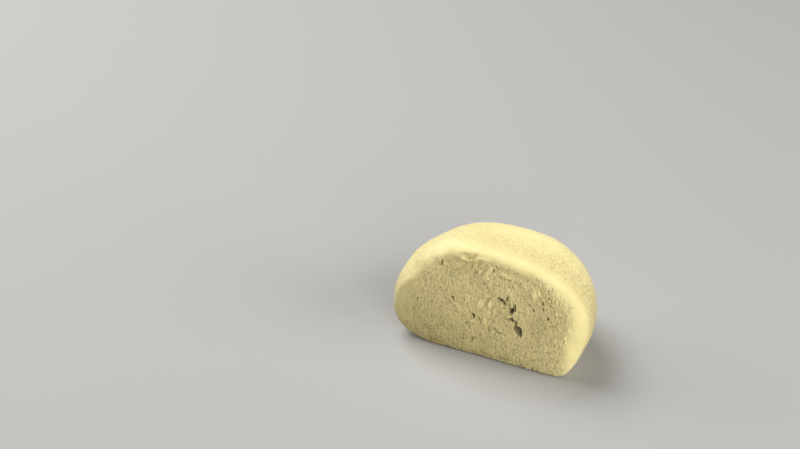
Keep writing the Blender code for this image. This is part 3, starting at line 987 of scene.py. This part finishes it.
def face_points():
    """x and z of the grid over the filling's face; its border lies on the lip of the skin."""
    u, v = np.meshgrid(np.linspace(-1, 1, FACE_COLUMNS), np.linspace(-1, 1, FACE_ROWS))
    disc_x, disc_z = square_to_disc(u, v)
    fine = np.linspace(0, 2 * math.pi, LIP_SAMPLES, endpoint=False)
    outline = surface(whole_half, fine, edge_of(filling_form, fine))
    scaled_x = (outline[:, 0] - FACE_MIDDLE[0]) / FACE_REACH[0]
    scaled_z = (outline[:, 2] - FACE_MIDDLE[1]) / FACE_REACH[1]
    turn = np.arctan2(scaled_z, scaled_x)
    order = np.argsort(turn)
    wanted = np.interp(
        np.arctan2(disc_z, disc_x), turn[order], np.hypot(scaled_x, scaled_z)[order], period=2 * math.pi
    )
    share = np.hypot(disc_x, disc_z)
    swell = 1 + share**2 * (wanted - 1)
    return FACE_MIDDLE[0] + FACE_REACH[0] * disc_x * swell, FACE_MIDDLE[1] + FACE_REACH[1] * disc_z * swell


def face_depth(x, z):
    """How far back the plain cut lies at each point, found by halving along Y."""
    front = np.full(np.shape(x), CUT_BETWEEN[0])
    back = np.full(np.shape(x), CUT_BETWEEN[1])
    for _ in range(HALVINGS):
        half_way = (front + back) / 2
        outside = whole_half(x, half_way, z) > 0
        front = np.where(outside, half_way, front)
        back = np.where(outside, back, half_way)
    return back


def border_numbers(rows, columns):
    """The numbers of a grid's border points, once round."""
    bottom = np.arange(columns)
    right = np.arange(1, rows) * columns + columns - 1
    top = (rows - 1) * columns + np.arange(columns - 2, -1, -1)
    left = np.arange(rows - 2, 0, -1) * columns
    return np.concatenate([bottom, right, top, left])


face_x, face_z = face_points()
face_lift, face_pit_shade = face_relief(face_x, face_z)
face = np.stack([face_x, face_depth(face_x, face_z) - face_lift, face_z], axis=-1)
print("face grid:", face.shape[:2], "cells of about", round(2 * FACE_REACH[0] / MM / FACE_COLUMNS, 3), "mm")
print("relief in mm: from", round(face_lift.min() / MM, 2), "to", round(face_lift.max() / MM, 2))

# %% [markdown]
# The edge of the filling is tucked a little way under the skin, so that no slit can open between them, and
# the rest of it is a plain closed back that nobody sees. It follows the pocket of the skin.

# %% The whole filling
TUCK_OUT = 0.2 * MM
TUCK_BACK = 0.12 * MM
TUCK_TURN = 0.06            # how far behind the tuck the back begins, as an opening angle
BACK_RINGS = 7


def filling_back_form(x, y, z):
    """The pocket, larger by the width of the tuck."""
    return filling_form(x, y, z) - TUCK_OUT


def make_filling(place):
    """One closed mesh: the face, its tucked border, rings over the back and a fan that closes them."""
    border = border_numbers(FACE_ROWS, FACE_COLUMNS)
    rim = face.reshape(-1, 3)[border]
    from_core = rim - CORE
    around = np.arctan2(from_core[:, 2], from_core[:, 0])
    sideways = np.stack([np.cos(around), np.zeros(len(around)), np.sin(around)], axis=-1)
    tucked = rim + TUCK_OUT * sideways + np.array((0.0, TUCK_BACK, 0.0))
    reach = tucked - CORE
    away = np.arccos(-reach[:, 1] / np.linalg.norm(reach, axis=1))
    behind = np.full(away.shape, math.pi)
    back = rings(filling_back_form, around, away + TUCK_TURN, behind, BACK_RINGS + 1)[:-1]
    pole = surface(filling_back_form, np.zeros(1), np.full(1, math.pi))
    loops = np.concatenate([tucked[None], back])
    points = np.concatenate([face.reshape(-1, 3), loops.reshape(-1, 3), pole]) + place
    inner = len(face.reshape(-1, 3))
    joints = np.concatenate([border, inner + np.arange(loops.shape[0] * len(border))])
    walls = joints[grid_quads(loops.shape[0] + 1, len(border), True)]
    quads = np.concatenate([grid_quads(FACE_ROWS, FACE_COLUMNS, False)[:, ::-1], walls])
    made = put_mesh("filling", points, quads, fan(len(points) - 1, joints[-len(border):]))
    keep_sharp(made, border)
    hidden = np.zeros(len(points) - inner)
    paint(made, "porous", np.concatenate([porous(face_x, face_z).ravel(), hidden + 1]))
    # Painted shade in the pores and cavities
    paint(made, "pit", np.concatenate([face_pit_shade.ravel(), hidden]))
    paint(made, "worn", np.zeros(len(points)))
    paint(made, "dusted", np.zeros(len(points)))
    # Painted shade at the foot and the left, with a mottled edge that is partly the skin's darker band
    paint(made, "shade_and_base_band", np.concatenate([shade_and_band_cut(face_x, face_z).ravel(), hidden]))
    return made


# %% [markdown]
# ## The skin
# The skin is one closed sheet of rings. It starts at the bottom of the pocket, comes up to the lip, crosses
# the cut, goes over the bevelled rim and through the valley, and closes at the back of the dome. The rings
# lie close together near the cut, where the eye looks for detail. The dough isn't perfectly smooth: it has
# soft dimples from the hands that shaped it and a fine skin like orange peel, and at both ends of the cut
# the base curls up a little from the board. All of this is real height as well.

# %% Relief of the dough
OUTER_RINGS = 130
POCKET_RINGS = 8
RIM_CROWDING = 1.6
CURL_LEFT = 0.9 * MM
CURL_RIGHT = 0.45 * MM

# Layers of unevenness, as for the grain of the cut
DIMPLES = (
    (0.085, 6.5, 1.0, 51),
    (0.035, 2.4, 1.0, 52),
)
PEEL = (
    (0.045, 1.0, 1.0, 53),
    (0.036, 0.55, 1.0, 54),
)


def dough_relief(x, y, z):
    """Soft dimples and fine unevenness of the outside, fading out on the base."""
    free = fade(z, 0.3 * MM, 4 * MM)
    return free * (layered(x, y, z, DIMPLES) + layered(x, y, z, PEEL)) * MM


def lifted_foot(x, y, z):
    """How far the base curls up at the two ends of the cut, most at the very edge."""
    ends = CURL_LEFT * fade(-x, 16 * MM, 22.5 * MM) + CURL_RIGHT * fade(x, 18 * MM, 21.5 * MM)
    near_base = 1 - fade(z, 0.0, 4.5 * MM)
    near_cut = 1 - fade(y, 2 * MM, 9 * MM)
    return ends * near_base * near_cut


foot_ends = lifted_foot(np.array([-23 * MM, 22 * MM]), 0.0, 0.0)
print("curl of the base at the two ends in mm:", (foot_ends / MM).round(2))


# %% Where the starch has worn off and where it lies thick
WORN_LEFT = 0.55
WORN_RIGHT_MORE = 0.45
WORN_LESS_BACK = 0.6


def worn_skin(x, y):
    """1 where the skin has lost its even dusting of starch: behind the rim, most on the right."""
    behind = fade(y, 2.5 * MM, 6 * MM) * (1 - WORN_LESS_BACK * fade(y, 10 * MM, 22 * MM))
    return behind * (WORN_LEFT + WORN_RIGHT_MORE * fade(x, 4 * MM, 18 * MM))


def dusting(x, y, z):
    """1 where the starch still lies thick: on top towards the left and the back."""
    on_top = fade(z, 19 * MM, 26 * MM)
    left = fade(-x, 2 * MM, 14 * MM)
    back = fade(y, 12 * MM, 20 * MM)
    return on_top * np.maximum(left, back)


print("worn behind the rim at the right:", float(worn_skin(18 * MM, 8 * MM)))


# %% The rings of the skin
def make_skin_points():
    """The skin's rings with their relief, from the bottom of the pocket to the back of the dome."""
    back = np.full(turns.shape, math.pi)
    pocket = rings(filling_form, turns, back, lip_away, POCKET_RINGS + 1)[1:-1]
    outer = rings(whole_half, turns, lip_away, back, OUTER_RINGS + 1, RIM_CROWDING)[:-1]
    x, y, z = np.moveaxis(outer, -1, 0)
    on_cut = fade(-y, -2.4 * MM, -1.0 * MM)
    off_cut = fade(y, 0.2 * MM, 2.5 * MM)
    lift, pit = face_relief(x, z)
    outer_lift = dough_relief(x, y, z) * off_cut
    outer = outer + outward(outer) * outer_lift[..., None]
    outer[..., 1] -= on_cut * lift
    outer[..., 2] += lifted_foot(x, y, z)
    # Painted shade: on the cut the same as on the filling, and on the outside darker from the waist down
    turned = fade(y, 3 * MM, 9 * MM)
    shade_and_base_band = shade_and_band_cut(x, z) * (1 - turned) + painted_shade_outside(z) * turned
    stored = {
        "porous": on_cut * porous(x, z),
        # Painted shade in the pores and cavities of the cut
        "pit": on_cut * pit,
        "worn": worn_skin(x, y),
        "dusted": dusting(x, y, z),
        "shade_and_base_band": shade_and_base_band,
    }
    return pocket, outer, stored


pocket_rings, outer_rings, outer_values = make_skin_points()
print("skin rings:", pocket_rings.shape[0], "in the pocket and", outer_rings.shape[0], "outside")

# %% [markdown]
# The formulas measure Y from the cut, and the frame measures it from the middle of the whole box. The box of
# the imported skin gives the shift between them: its middle in x, and its front in y.

# %% Put the pieces into the frame
WIDEST_PART = np.linspace(1.2, 2.6, 60)     # opening angles on both sides of the widest part
skin_low, skin_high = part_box("mochi_skin")
plain = surface(whole_half, turns[:, None], WIDEST_PART[None, :])
shift = np.array(
    (
        (skin_low[0] + skin_high[0] - plain[..., 0].min() - plain[..., 0].max()) / 2,
        skin_low[1],
        0.0,
    )
)
print("shift into the frame in mm:", (shift / MM).round(3))


def make_skin(place):
    """One closed mesh: the rings of the pocket and the outside, with a fan at each end."""
    loops = np.concatenate([pocket_rings, outer_rings])
    count = len(turns)
    ends = [surface(filling_form, np.zeros(1), np.full(1, math.pi)), outer_rings[-1].mean(axis=0)[None]]
    points = np.concatenate([loops.reshape(-1, 3), *ends]) + place
    last = len(points) - 1
    first_ring = np.arange(count)
    last_ring = first_ring + (len(loops) - 1) * count
    fans = np.concatenate([fan(last - 1, first_ring), fan(last, last_ring)[:, ::-1]])
    made = put_mesh("dough_skin", points, grid_quads(len(loops), count, True)[:, ::-1], fans)
    lip_start = len(pocket_rings) * count
    keep_sharp(made, np.arange(lip_start, lip_start + count))
    for name, values in outer_values.items():
        paint(made, name, np.concatenate([np.zeros(lip_start), values.ravel(), [0, values[-1].mean()]]))
    return made


skin = make_skin(shift)
filling = make_filling(shift)
print("triangles: skin", triangle_count(skin), "filling", triangle_count(filling))

# %% [markdown]
# ## Crumbs at the foot
# Where the knife came down on the board it broke small crumbs off, and they cling to the lowest edge of the
# cut. Each crumb is a twenty-sided lump with its corners pushed in and out, a few tenths of a millimetre
# across. They could be scattered by a particle system, but one joined mesh of real crumbs is simpler to carry
# over to other programs, and every crumb stays where it was put.

# %% Crumbs
CRUMB_SPOTS = (
    -13.8, -11.8, -7.4, -6.2, -5.7, 2.5, 4.3, 4.9, 5.9, 6.6, 7.4, 8.2, 11.8, 13.5, 13.9, 14.4, 17.3,
)
LOOSE_CRUMBS = 70
LOOSE_X = (-19, 18)         # the loose ones fall between these x, in mm
SPOT_SIZE = (0.17, 0.28)    # half a crumb's width in mm, from and to
LOOSE_SIZE = (0.07, 0.16)
SPOT_HEIGHT = (0.4, 0.9)    # how high above the base it clings, in mm
LOOSE_HEIGHT = (0.15, 1.0)
CRUMB_UNEVEN = (0.7, 1.15)  # how far each corner is pushed in or out
CRUMB_STRETCH = (0.7, 1.2)
CRUMB_FORWARD = 0.2         # how far its middle stands in front of the cut, in sizes
CRUMB_SHADE = 0.15
GOLDEN = (1 + math.sqrt(5)) / 2
NEIGHBOURS = 2.1            # corners nearer than this share an edge, because edges are 2 long


def twenty_sides():
    """Corners and triangles of an icosahedron: (0, +-1, +-golden ratio), turned three ways."""
    corners = []
    for one, golden in product((-1, 1), (-GOLDEN, GOLDEN)):
        corners += [(0, one, golden), (one, golden, 0), (golden, 0, one)]
    corners = np.array(corners, float)
    apart = np.linalg.norm(corners[:, None] - corners[None], axis=2)
    linked = apart < NEIGHBOURS
    faces = [
        (a, b, c)
        for a, b, c in product(range(len(corners)), repeat=3)
        if a < b < c and linked[a, b] and linked[b, c] and linked[a, c]
    ]
    faces = np.array(faces)
    middle = corners[faces].mean(axis=1)
    first, second, third = (corners[faces[:, corner]] for corner in range(3))
    square = np.cross(second - first, third - first)
    inwards = np.einsum("ij,ij->i", square, middle) < 0
    faces[inwards] = faces[inwards][:, ::-1]
    return corners / np.linalg.norm(corners[0]), faces


def make_crumbs(place):
    """All crumbs as one mesh. A point is its corner times push, stretch and size, plus the crumb's place."""
    rng = np.random.default_rng(seed=91)
    at_x = np.concatenate([np.array(CRUMB_SPOTS), rng.uniform(*LOOSE_X, LOOSE_CRUMBS)]) * MM
    count = len(at_x)
    chosen = np.arange(count) < len(CRUMB_SPOTS)
    size = np.where(chosen, rng.uniform(*SPOT_SIZE, count), rng.uniform(*LOOSE_SIZE, count)) * MM
    at_z = np.where(chosen, rng.uniform(*SPOT_HEIGHT, count), rng.uniform(*LOOSE_HEIGHT, count)) * MM
    lift, _ = face_relief(at_x, at_z)
    at_y = face_depth(at_x, at_z) - lift - CRUMB_FORWARD * size
    corners, faces = twenty_sides()
    pushed = rng.uniform(*CRUMB_UNEVEN, (count, len(corners), 1))
    stretch = rng.uniform(*CRUMB_STRETCH, (count, 1, 3))
    points = corners * pushed * stretch * size[:, None, None] + np.stack([at_x, at_y, at_z], axis=1)[:, None]
    numbers = faces + (np.arange(count) * len(corners))[:, None, None]
    points = points.reshape(-1, 3) + place
    points[:, 2] = np.maximum(points[:, 2], 0.0)
    made = put_mesh("crumbs", points, np.empty((0, 4), int), numbers.reshape(-1, 3))
    paint(made, "porous", np.ones(len(points)))
    # The crumbs get a little painted shade as well
    paint(made, "shade_and_base_band", np.full(len(points), CRUMB_SHADE))
    return made


crumbs = make_crumbs(shift)
print("crumbs:", len(CRUMB_SPOTS) + LOOSE_CRUMBS, "with", triangle_count(crumbs), "triangles in one mesh")

# %% [markdown]
# ## Finishes
# Rice dough is matt with a soft sheen, because light goes a little way in and a dusting of starch scatters
# it. Its colour isn't even: it is mottled by a few percent, and starch lies on it in faint clouds. The
# filling is drier. It has the same pale yellow and a finer grain, and its pores are painted darker as shade.
#
# Both share the same effects, so each effect is a node group with its own inputs, built once.


# %% Node helpers
def set_inputs(node, values):
    """Sets a node's inputs by name; an underscore in a name stands for a space."""
    for name, value in values.items():
        node.inputs[name.replace("_", " ")].default_value = value
    return node


def add_node(tree, kind, **values):
    """Adds a node and sets its inputs."""
    return set_inputs(tree.nodes.new(kind), values)


def new_group(name, inputs, outputs):
    """An empty shader node group with number inputs (name, value) and number outputs."""
    tree = bpy.data.node_groups.new(name, "ShaderNodeTree")
    for label, value in inputs:
        socket = tree.interface.new_socket(name=label, in_out="INPUT", socket_type="NodeSocketFloat")
        socket.default_value = value
    for label in outputs:
        tree.interface.new_socket(name=label, in_out="OUTPUT", socket_type="NodeSocketFloat")
    return tree, tree.nodes.new("NodeGroupInput"), tree.nodes.new("NodeGroupOutput")


def place_group(tree, group, **values):
    """Places a node group in a material and sets its inputs."""
    made = tree.nodes.new("ShaderNodeGroup")
    made.node_tree = group
    return set_inputs(made, values)


def feed(tree, value, socket):
    """Gives a socket a number, a colour with three parts, or the output of another node."""
    if isinstance(value, bpy.types.NodeSocket):
        tree.links.new(value, socket)
    else:
        socket.default_value = (*value, 1.0) if isinstance(value, tuple) else value


def calculate(tree, operation, first, second):
    """One Math node. Each value may be a number or an output."""
    made = tree.nodes.new("ShaderNodeMath")
    made.operation = operation
    feed(tree, first, made.inputs[0])
    feed(tree, second, made.inputs[1])
    return made.outputs["Value"]


def times(tree, first, second):
    """Two values multiplied."""
    return calculate(tree, "MULTIPLY", first, second)


def soft_step(tree, value, start, end):
    """A soft S from 0 where the value is start to 1 where it is end; start may be the larger one."""
    made = tree.nodes.new("ShaderNodeMapRange")
    made.interpolation_type = "SMOOTHSTEP"
    feed(tree, value, made.inputs["Value"])
    feed(tree, start, made.inputs["From Min"])
    feed(tree, end, made.inputs["From Max"])
    return made.outputs["Result"]


def scaled_place(tree, given, stretch=(1.0, 1.0, 1.0)):
    """Object coordinates divided by the size that a group is given, and stretched along the axes."""
    where = tree.nodes.new("ShaderNodeTexCoord")
    turned = tree.nodes.new("ShaderNodeMapping")
    turned.inputs["Scale"].default_value = stretch
    divided = tree.nodes.new("ShaderNodeVectorMath")
    divided.operation = "DIVIDE"
    size = tree.nodes.new("ShaderNodeCombineXYZ")
    for axis in "XYZ":
        tree.links.new(given.outputs["Size"], size.inputs[axis])
    tree.links.new(where.outputs["Object"], turned.inputs["Vector"])
    tree.links.new(turned.outputs["Vector"], divided.inputs[0])
    tree.links.new(size.outputs["Vector"], divided.inputs[1])
    return divided.outputs["Vector"]


# %% Shared effects
# Distances from the middle of a cell, where cells are about 1 apart
PORE_RIM = 0.32
PORE_FLOOR = 0.08
FLECK_EDGE = 0.34
FLECK_SOLID = 0.20
FLECK_RAGGED = (0.8, 0.8, 0.8)      # how far the noise pushes the edge of a fleck, along each axis


def mottle_group():
    """Soft clouds: noise cut between a low and a high value into a mask from 0 to 1."""
    tree, given, out = new_group("soft mottle", [("Size", 0.005), ("Low", 0.4), ("High", 0.6)], ["Mask"])
    noise = add_node(tree, "ShaderNodeTexNoise", Scale=1.0, Detail=4.0, Roughness=0.55)
    tree.links.new(scaled_place(tree, given), noise.inputs["Vector"])
    mask = soft_step(tree, noise.outputs["Fac"], given.outputs["Low"], given.outputs["High"])
    tree.links.new(mask, out.inputs["Mask"])
    return tree


def grain_group():
    """Fine upright grain: stretched noise for the crumb and small round cells for the pores between."""
    tree, given, out = new_group("fine grain", [("Size", 0.0004), ("Pores", 0.5)], ["Height", "Mask"])
    place = scaled_place(tree, given, stretch=(1.0, 1.0, 0.6))
    crumb = add_node(tree, "ShaderNodeTexNoise", Scale=1.0, Detail=3.0, Roughness=0.6)
    cells = tree.nodes.new("ShaderNodeTexVoronoi")
    cells.feature = "SMOOTH_F1"
    cells.inputs["Scale"].default_value = 0.9
    cells.inputs["Smoothness"].default_value = 0.4
    tree.links.new(place, crumb.inputs["Vector"])
    tree.links.new(place, cells.inputs["Vector"])
    hole = soft_step(tree, cells.outputs["Distance"], PORE_RIM, PORE_FLOOR)
    sunk = times(tree, hole, given.outputs["Pores"])
    height = calculate(tree, "SUBTRACT", crumb.outputs["Fac"], sunk)
    tree.links.new(height, out.inputs["Height"])
    tree.links.new(sunk, out.inputs["Mask"])
    return tree


def fleck_group():
    """Scattered small flecks with ragged edges: cells, of which a share has a fleck at its middle."""
    tree, given, out = new_group("scattered flecks", [("Size", 0.001), ("Share", 0.4)], ["Mask"])
    place = scaled_place(tree, given)
    ragged = add_node(tree, "ShaderNodeTexNoise", Scale=3.2, Detail=2.0)
    pushed = tree.nodes.new("ShaderNodeVectorMath")
    pushed.operation = "MULTIPLY_ADD"
    pushed.inputs[1].default_value = FLECK_RAGGED
    cells = add_node(tree, "ShaderNodeTexVoronoi", Scale=1.0)
    tree.links.new(place, ragged.inputs["Vector"])
    tree.links.new(ragged.outputs["Color"], pushed.inputs[0])
    tree.links.new(place, pushed.inputs[2])
    tree.links.new(pushed.outputs["Vector"], cells.inputs["Vector"])
    draw = tree.nodes.new("ShaderNodeSeparateColor")
    tree.links.new(cells.outputs["Color"], draw.inputs["Color"])
    edge = soft_step(tree, cells.outputs["Distance"], FLECK_EDGE, FLECK_SOLID)
    there = calculate(tree, "LESS_THAN", draw.outputs["Red"], given.outputs["Share"])
    tree.links.new(times(tree, edge, there), out.inputs["Mask"])
    return tree


mottle = mottle_group()
grain = grain_group()
flecks = fleck_group()
print("effects:", mottle.name, "and", grain.name, "and", flecks.name)


# %% Material helpers
MIX_COLOUR_INPUTS = (0, 6, 7)       # a Mix node has several sockets of the same name, so these go by number
MIX_COLOUR_OUTPUT = 2


def new_material(name):
    """A material with its node tree and its main shader."""
    material = bpy.data.materials.new(name)
    material.use_nodes = True
    return material, material.node_tree, material.node_tree.nodes["Principled BSDF"]


def blend_colour(tree, factor, first, second, mode="MIX"):
    """A colour between first and second. Each may be a colour or an output, and so may the factor."""
    mix = tree.nodes.new("ShaderNodeMix")
    mix.data_type = "RGBA"
    mix.blend_type = mode
    for number, value in zip(MIX_COLOUR_INPUTS, (factor, first, second)):
        feed(tree, value, mix.inputs[number])
    return mix.outputs[MIX_COLOUR_OUTPUT]


def read(tree, name):
    """The number that a piece stores for each point under this name."""
    made = tree.nodes.new("ShaderNodeAttribute")
    made.attribute_name = name
    return made.outputs["Fac"]


# %% [markdown]
# The colours are an estimate of the real surface in plain light, as linear red, green and blue, except for
# the painted shade in the pits and at the foot. Both materials read the porous mask, so the grain crosses the
# hidden joint between skin and filling without a step. Behind the rim the dusting of starch has worn off in
# blotches and is left as flecks, and on top, towards the left and the back, it still lies thick and pale.
# Pores, pits and tears are painted dark as shade, the deeper the darker, and last of all the painted shade of
# the foot, the left and the lower outside, with the skin's own darker band at the base, multiplies the colour.

# %% Dough and filling
DOUGH = (0.88, 0.755, 0.350)
DOUGH_DEEP = (0.77, 0.65, 0.27)
DOUGH_WORN = (0.60, 0.48, 0.165)
DOUGH_DUSTED = (0.95, 0.84, 0.39)
STARCH = (0.94, 0.88, 0.62)
FILLING = (0.92, 0.78, 0.362)
FILLING_DEEP = (0.71, 0.60, 0.275)
# The colour of the painted shade in pores, pits and cavities
PIT_SHADE = (0.22, 0.185, 0.10)
SHADE_AND_BAND = (0.49, 0.465, 0.41)     # what is left of each colour where the painted shade of the foot, with the skin's darker band, is deepest

# How much of each effect shows at its strongest
CLOUD_SHARE = 0.45
SPECK_SHARE = 0.75
BLOTCH_SHARE = 0.85
STARCH_SHARE = 0.8
# Painted shade in the pores of the grain and in the pits and cavities:
GRAIN_PORE_SHADE = 0.42
PIT_SHADE_SHARE = 0.95

# Roughness of the dough, and how much the grain and the clouds add to it
DOUGH_ROUGH = 0.52
GRAIN_ROUGH = 0.2
CLOUD_ROUGH = 0.10

# The bump: shares of the peel and the starch in it, and its height
PEEL_SHARE = 0.5
STARCH_RAISED = 0.25
BUMP_HEIGHT = 0.25 * MM


def food_material(name):
    """Pale dough that turns into filling where the porous mask is 1, blotched where worn; pits and foot get
    painted shade.
    """
    material, tree, shader = new_material(name)
    clouds = place_group(tree, mottle, Size=0.0065, Low=0.40, High=0.68)
    specks = place_group(tree, mottle, Size=0.0005, Low=0.47, High=0.60)
    blotches = place_group(tree, mottle, Size=0.0007, Low=0.39, High=0.64)
    starch = place_group(tree, flecks, Size=0.0009, Share=0.4)
    crumb = place_group(tree, grain, Size=0.0007, Pores=0.8)
    peel = place_group(tree, grain, Size=0.0006, Pores=0.25)
    shows = read(tree, "porous")
    pit = read(tree, "pit")
    worn = read(tree, "worn")
    bare = calculate(tree, "SUBTRACT", 1.0, shows)
    dough = blend_colour(tree, read(tree, "dusted"), DOUGH, DOUGH_DUSTED)
    plain = blend_colour(tree, shows, dough, FILLING)
    deep = blend_colour(tree, shows, DOUGH_DEEP, FILLING_DEEP)
    colour = blend_colour(tree, times(tree, clouds.outputs["Mask"], CLOUD_SHARE), plain, deep)
    speck = times(tree, times(tree, specks.outputs["Mask"], SPECK_SHARE), shows)
    colour = blend_colour(tree, speck, colour, deep)
    blotch = times(tree, times(tree, blotches.outputs["Mask"], BLOTCH_SHARE), worn)
    colour = blend_colour(tree, blotch, colour, DOUGH_WORN)
    most_worn = calculate(tree, "SUBTRACT", times(tree, worn, 2.0), 1.0)
    fleck = times(tree, starch.outputs["Mask"], calculate(tree, "MAXIMUM", most_worn, 0.0))
    colour = blend_colour(tree, times(tree, fleck, STARCH_SHARE), colour, STARCH)
    # Painted shade: the pores of the grain and the pits and cavities turn dark, then the painted shade of the
    # foot, the left and the lower outside (with the skin's darker band at the base) multiplies the colour
    painted_pore_shade = times(tree, times(tree, crumb.outputs["Mask"], shows), GRAIN_PORE_SHADE)
    painted_pore_shade = calculate(tree, "MAXIMUM", painted_pore_shade, times(tree, pit, PIT_SHADE_SHARE))
    colour = blend_colour(tree, painted_pore_shade, colour, PIT_SHADE)
    colour = blend_colour(tree, read(tree, "shade_and_base_band"), colour, SHADE_AND_BAND, "MULTIPLY")
    tree.links.new(colour, shader.inputs["Base Color"])
    rough = calculate(tree, "ADD", DOUGH_ROUGH, times(tree, shows, GRAIN_ROUGH))
    rough = calculate(tree, "ADD", rough, times(tree, clouds.outputs["Mask"], CLOUD_ROUGH))
    tree.links.new(rough, shader.inputs["Roughness"])
    skin_height = times(tree, times(tree, peel.outputs["Height"], bare), PEEL_SHARE)
    height = calculate(tree, "ADD", times(tree, crumb.outputs["Height"], shows), skin_height)
    height = calculate(tree, "ADD", height, times(tree, fleck, STARCH_RAISED))
    bump = add_node(tree, "ShaderNodeBump", Strength=1.0, Distance=BUMP_HEIGHT)
    tree.links.new(height, bump.inputs["Height"])
    tree.links.new(bump.outputs["Normal"], shader.inputs["Normal"])
    shader.inputs["Sheen Weight"].default_value = 0.12
    shader.inputs["Sheen Roughness"].default_value = 0.5
    shader.inputs["Specular IOR Level"].default_value = 0.35
    return material


dough_finish = food_material("soft dough")
filling_finish = food_material("grainy filling")
skin.data.materials.append(dough_finish)
filling.data.materials.append(filling_finish)
crumbs.data.materials.append(filling_finish)
print("materials:", dough_finish.name, "and", filling_finish.name)

# %% [markdown]
# ## Riding on the model
# Each piece is tied to the body it moves with, and the solid that it stands for is hidden. The crumbs stand
# for no solid, so they only ride along.

# %% Tie the pieces to the model
for piece, node, slot in ((skin, "mochi_skin", "dough"), (filling, "mochi_filling", "filling")):
    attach(piece, "root")
    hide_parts(node)
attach(crumbs, "root")

# %% [markdown]
# ## Floor, light and camera
# The half stands on a plain pale floor. Four softboxes light it, two from the left, one from the right and
# one from the front, with a faint sky between them, so that the rim and the top are bright and the upright
# cut is darker. The camera looks down at the cut from the right, through a long lens.

# %% Floor
FLOOR_SIZE = 4.0
FLOOR_COLOUR = (0.42, 0.415, 0.40)
FLOOR_ROUGH = 0.85


def make_floor():
    """One square at the height of the base, and no part of the sweet."""
    half = FLOOR_SIZE / 2
    points = np.array([(-half, -half, 0), (half, -half, 0), (half, half, 0), (-half, half, 0)])
    mesh = bpy.data.meshes.new("floor")
    mesh.from_pydata(points.tolist(), [], [(0, 1, 2, 3)])
    made = bpy.data.objects.new("floor", mesh)
    bpy.context.scene.collection.objects.link(made)
    material, _, shader = new_material("pale floor")
    shader.inputs["Base Color"].default_value = (*FLOOR_COLOUR, 1.0)
    shader.inputs["Roughness"].default_value = FLOOR_ROUGH
    mesh.materials.append(material)
    return made


make_floor()

# %% Light
SKY_STRENGTH = 0.03
SKY_COLOUR = (1.0, 0.99, 0.97)
LAMP_DISTANCE = 0.8

# Name, degrees round from the front of the cut towards its right-hand end, degrees up, size in m, power in W
LAMPS = (
    ("high left softbox", 250, 57, 0.50, 5.9),
    ("low left softbox", 270, 20, 0.45, 1.8),
    ("right softbox", 93, 25, 0.45, 3.7),
    ("front softbox", 43, 29, 0.45, 3.3),
)


def make_sky():
    """A faint even light from all round."""
    world = bpy.data.worlds.new("pale sky")
    world.use_nodes = True
    ground = world.node_tree.nodes["Background"]
    ground.inputs["Color"].default_value = (*SKY_COLOUR, 1.0)
    ground.inputs["Strength"].default_value = SKY_STRENGTH
    bpy.context.scene.world = world


def make_softbox(name, round_by, up_by, size, power):
    """A square lamp that looks at the half from a direction given by two angles."""
    lamp = bpy.data.lights.new(name, "AREA")
    lamp.shape = "SQUARE"
    lamp.size = size
    lamp.energy = power
    made = bpy.data.objects.new(name, lamp)
    bpy.context.scene.collection.objects.link(made)
    turn = math.radians(round_by)
    rise = math.radians(up_by)
    made.location = LAMP_DISTANCE * np.array(
        (math.sin(turn) * math.cos(rise), -math.cos(turn) * math.cos(rise), math.sin(rise))
    )
    made.rotation_euler = (math.pi / 2 - rise, 0.0, turn)
    return made


make_sky()
for lamp in LAMPS:
    make_softbox(*lamp)

# %% Camera
CAMERA_AIM = (-29.0 * MM, 10.25 * MM, 26.04 * MM)   # measured from the cut, as the formulas are
CAMERA_DISTANCE = 461.2 * MM
CAMERA_AZIMUTH = 27.168
CAMERA_ELEVATION = 29.706
CAMERA_LENS = 81.0
CAMERA_SENSOR = 36.0
CAMERA_NEAR = 0.01


def make_camera():
    """Stands back from the point it looks at, along a line given by two angles."""
    azimuth = math.radians(CAMERA_AZIMUTH)
    elevation = math.radians(CAMERA_ELEVATION)
    level = math.cos(elevation)
    back = np.array((math.sin(azimuth) * level, -math.cos(azimuth) * level, math.sin(elevation)))
    lens = bpy.data.cameras.new("camera")
    lens.lens = CAMERA_LENS
    lens.sensor_width = CAMERA_SENSOR
    lens.clip_start = CAMERA_NEAR
    made = bpy.data.objects.new("camera", lens)
    bpy.context.scene.collection.objects.link(made)
    made.location = np.array(CAMERA_AIM) + shift + back * CAMERA_DISTANCE
    made.rotation_euler = (math.pi / 2 - elevation, 0.0, azimuth)
    bpy.context.scene.camera = made


make_camera()
bpy.context.scene.view_settings.view_transform = "Standard"
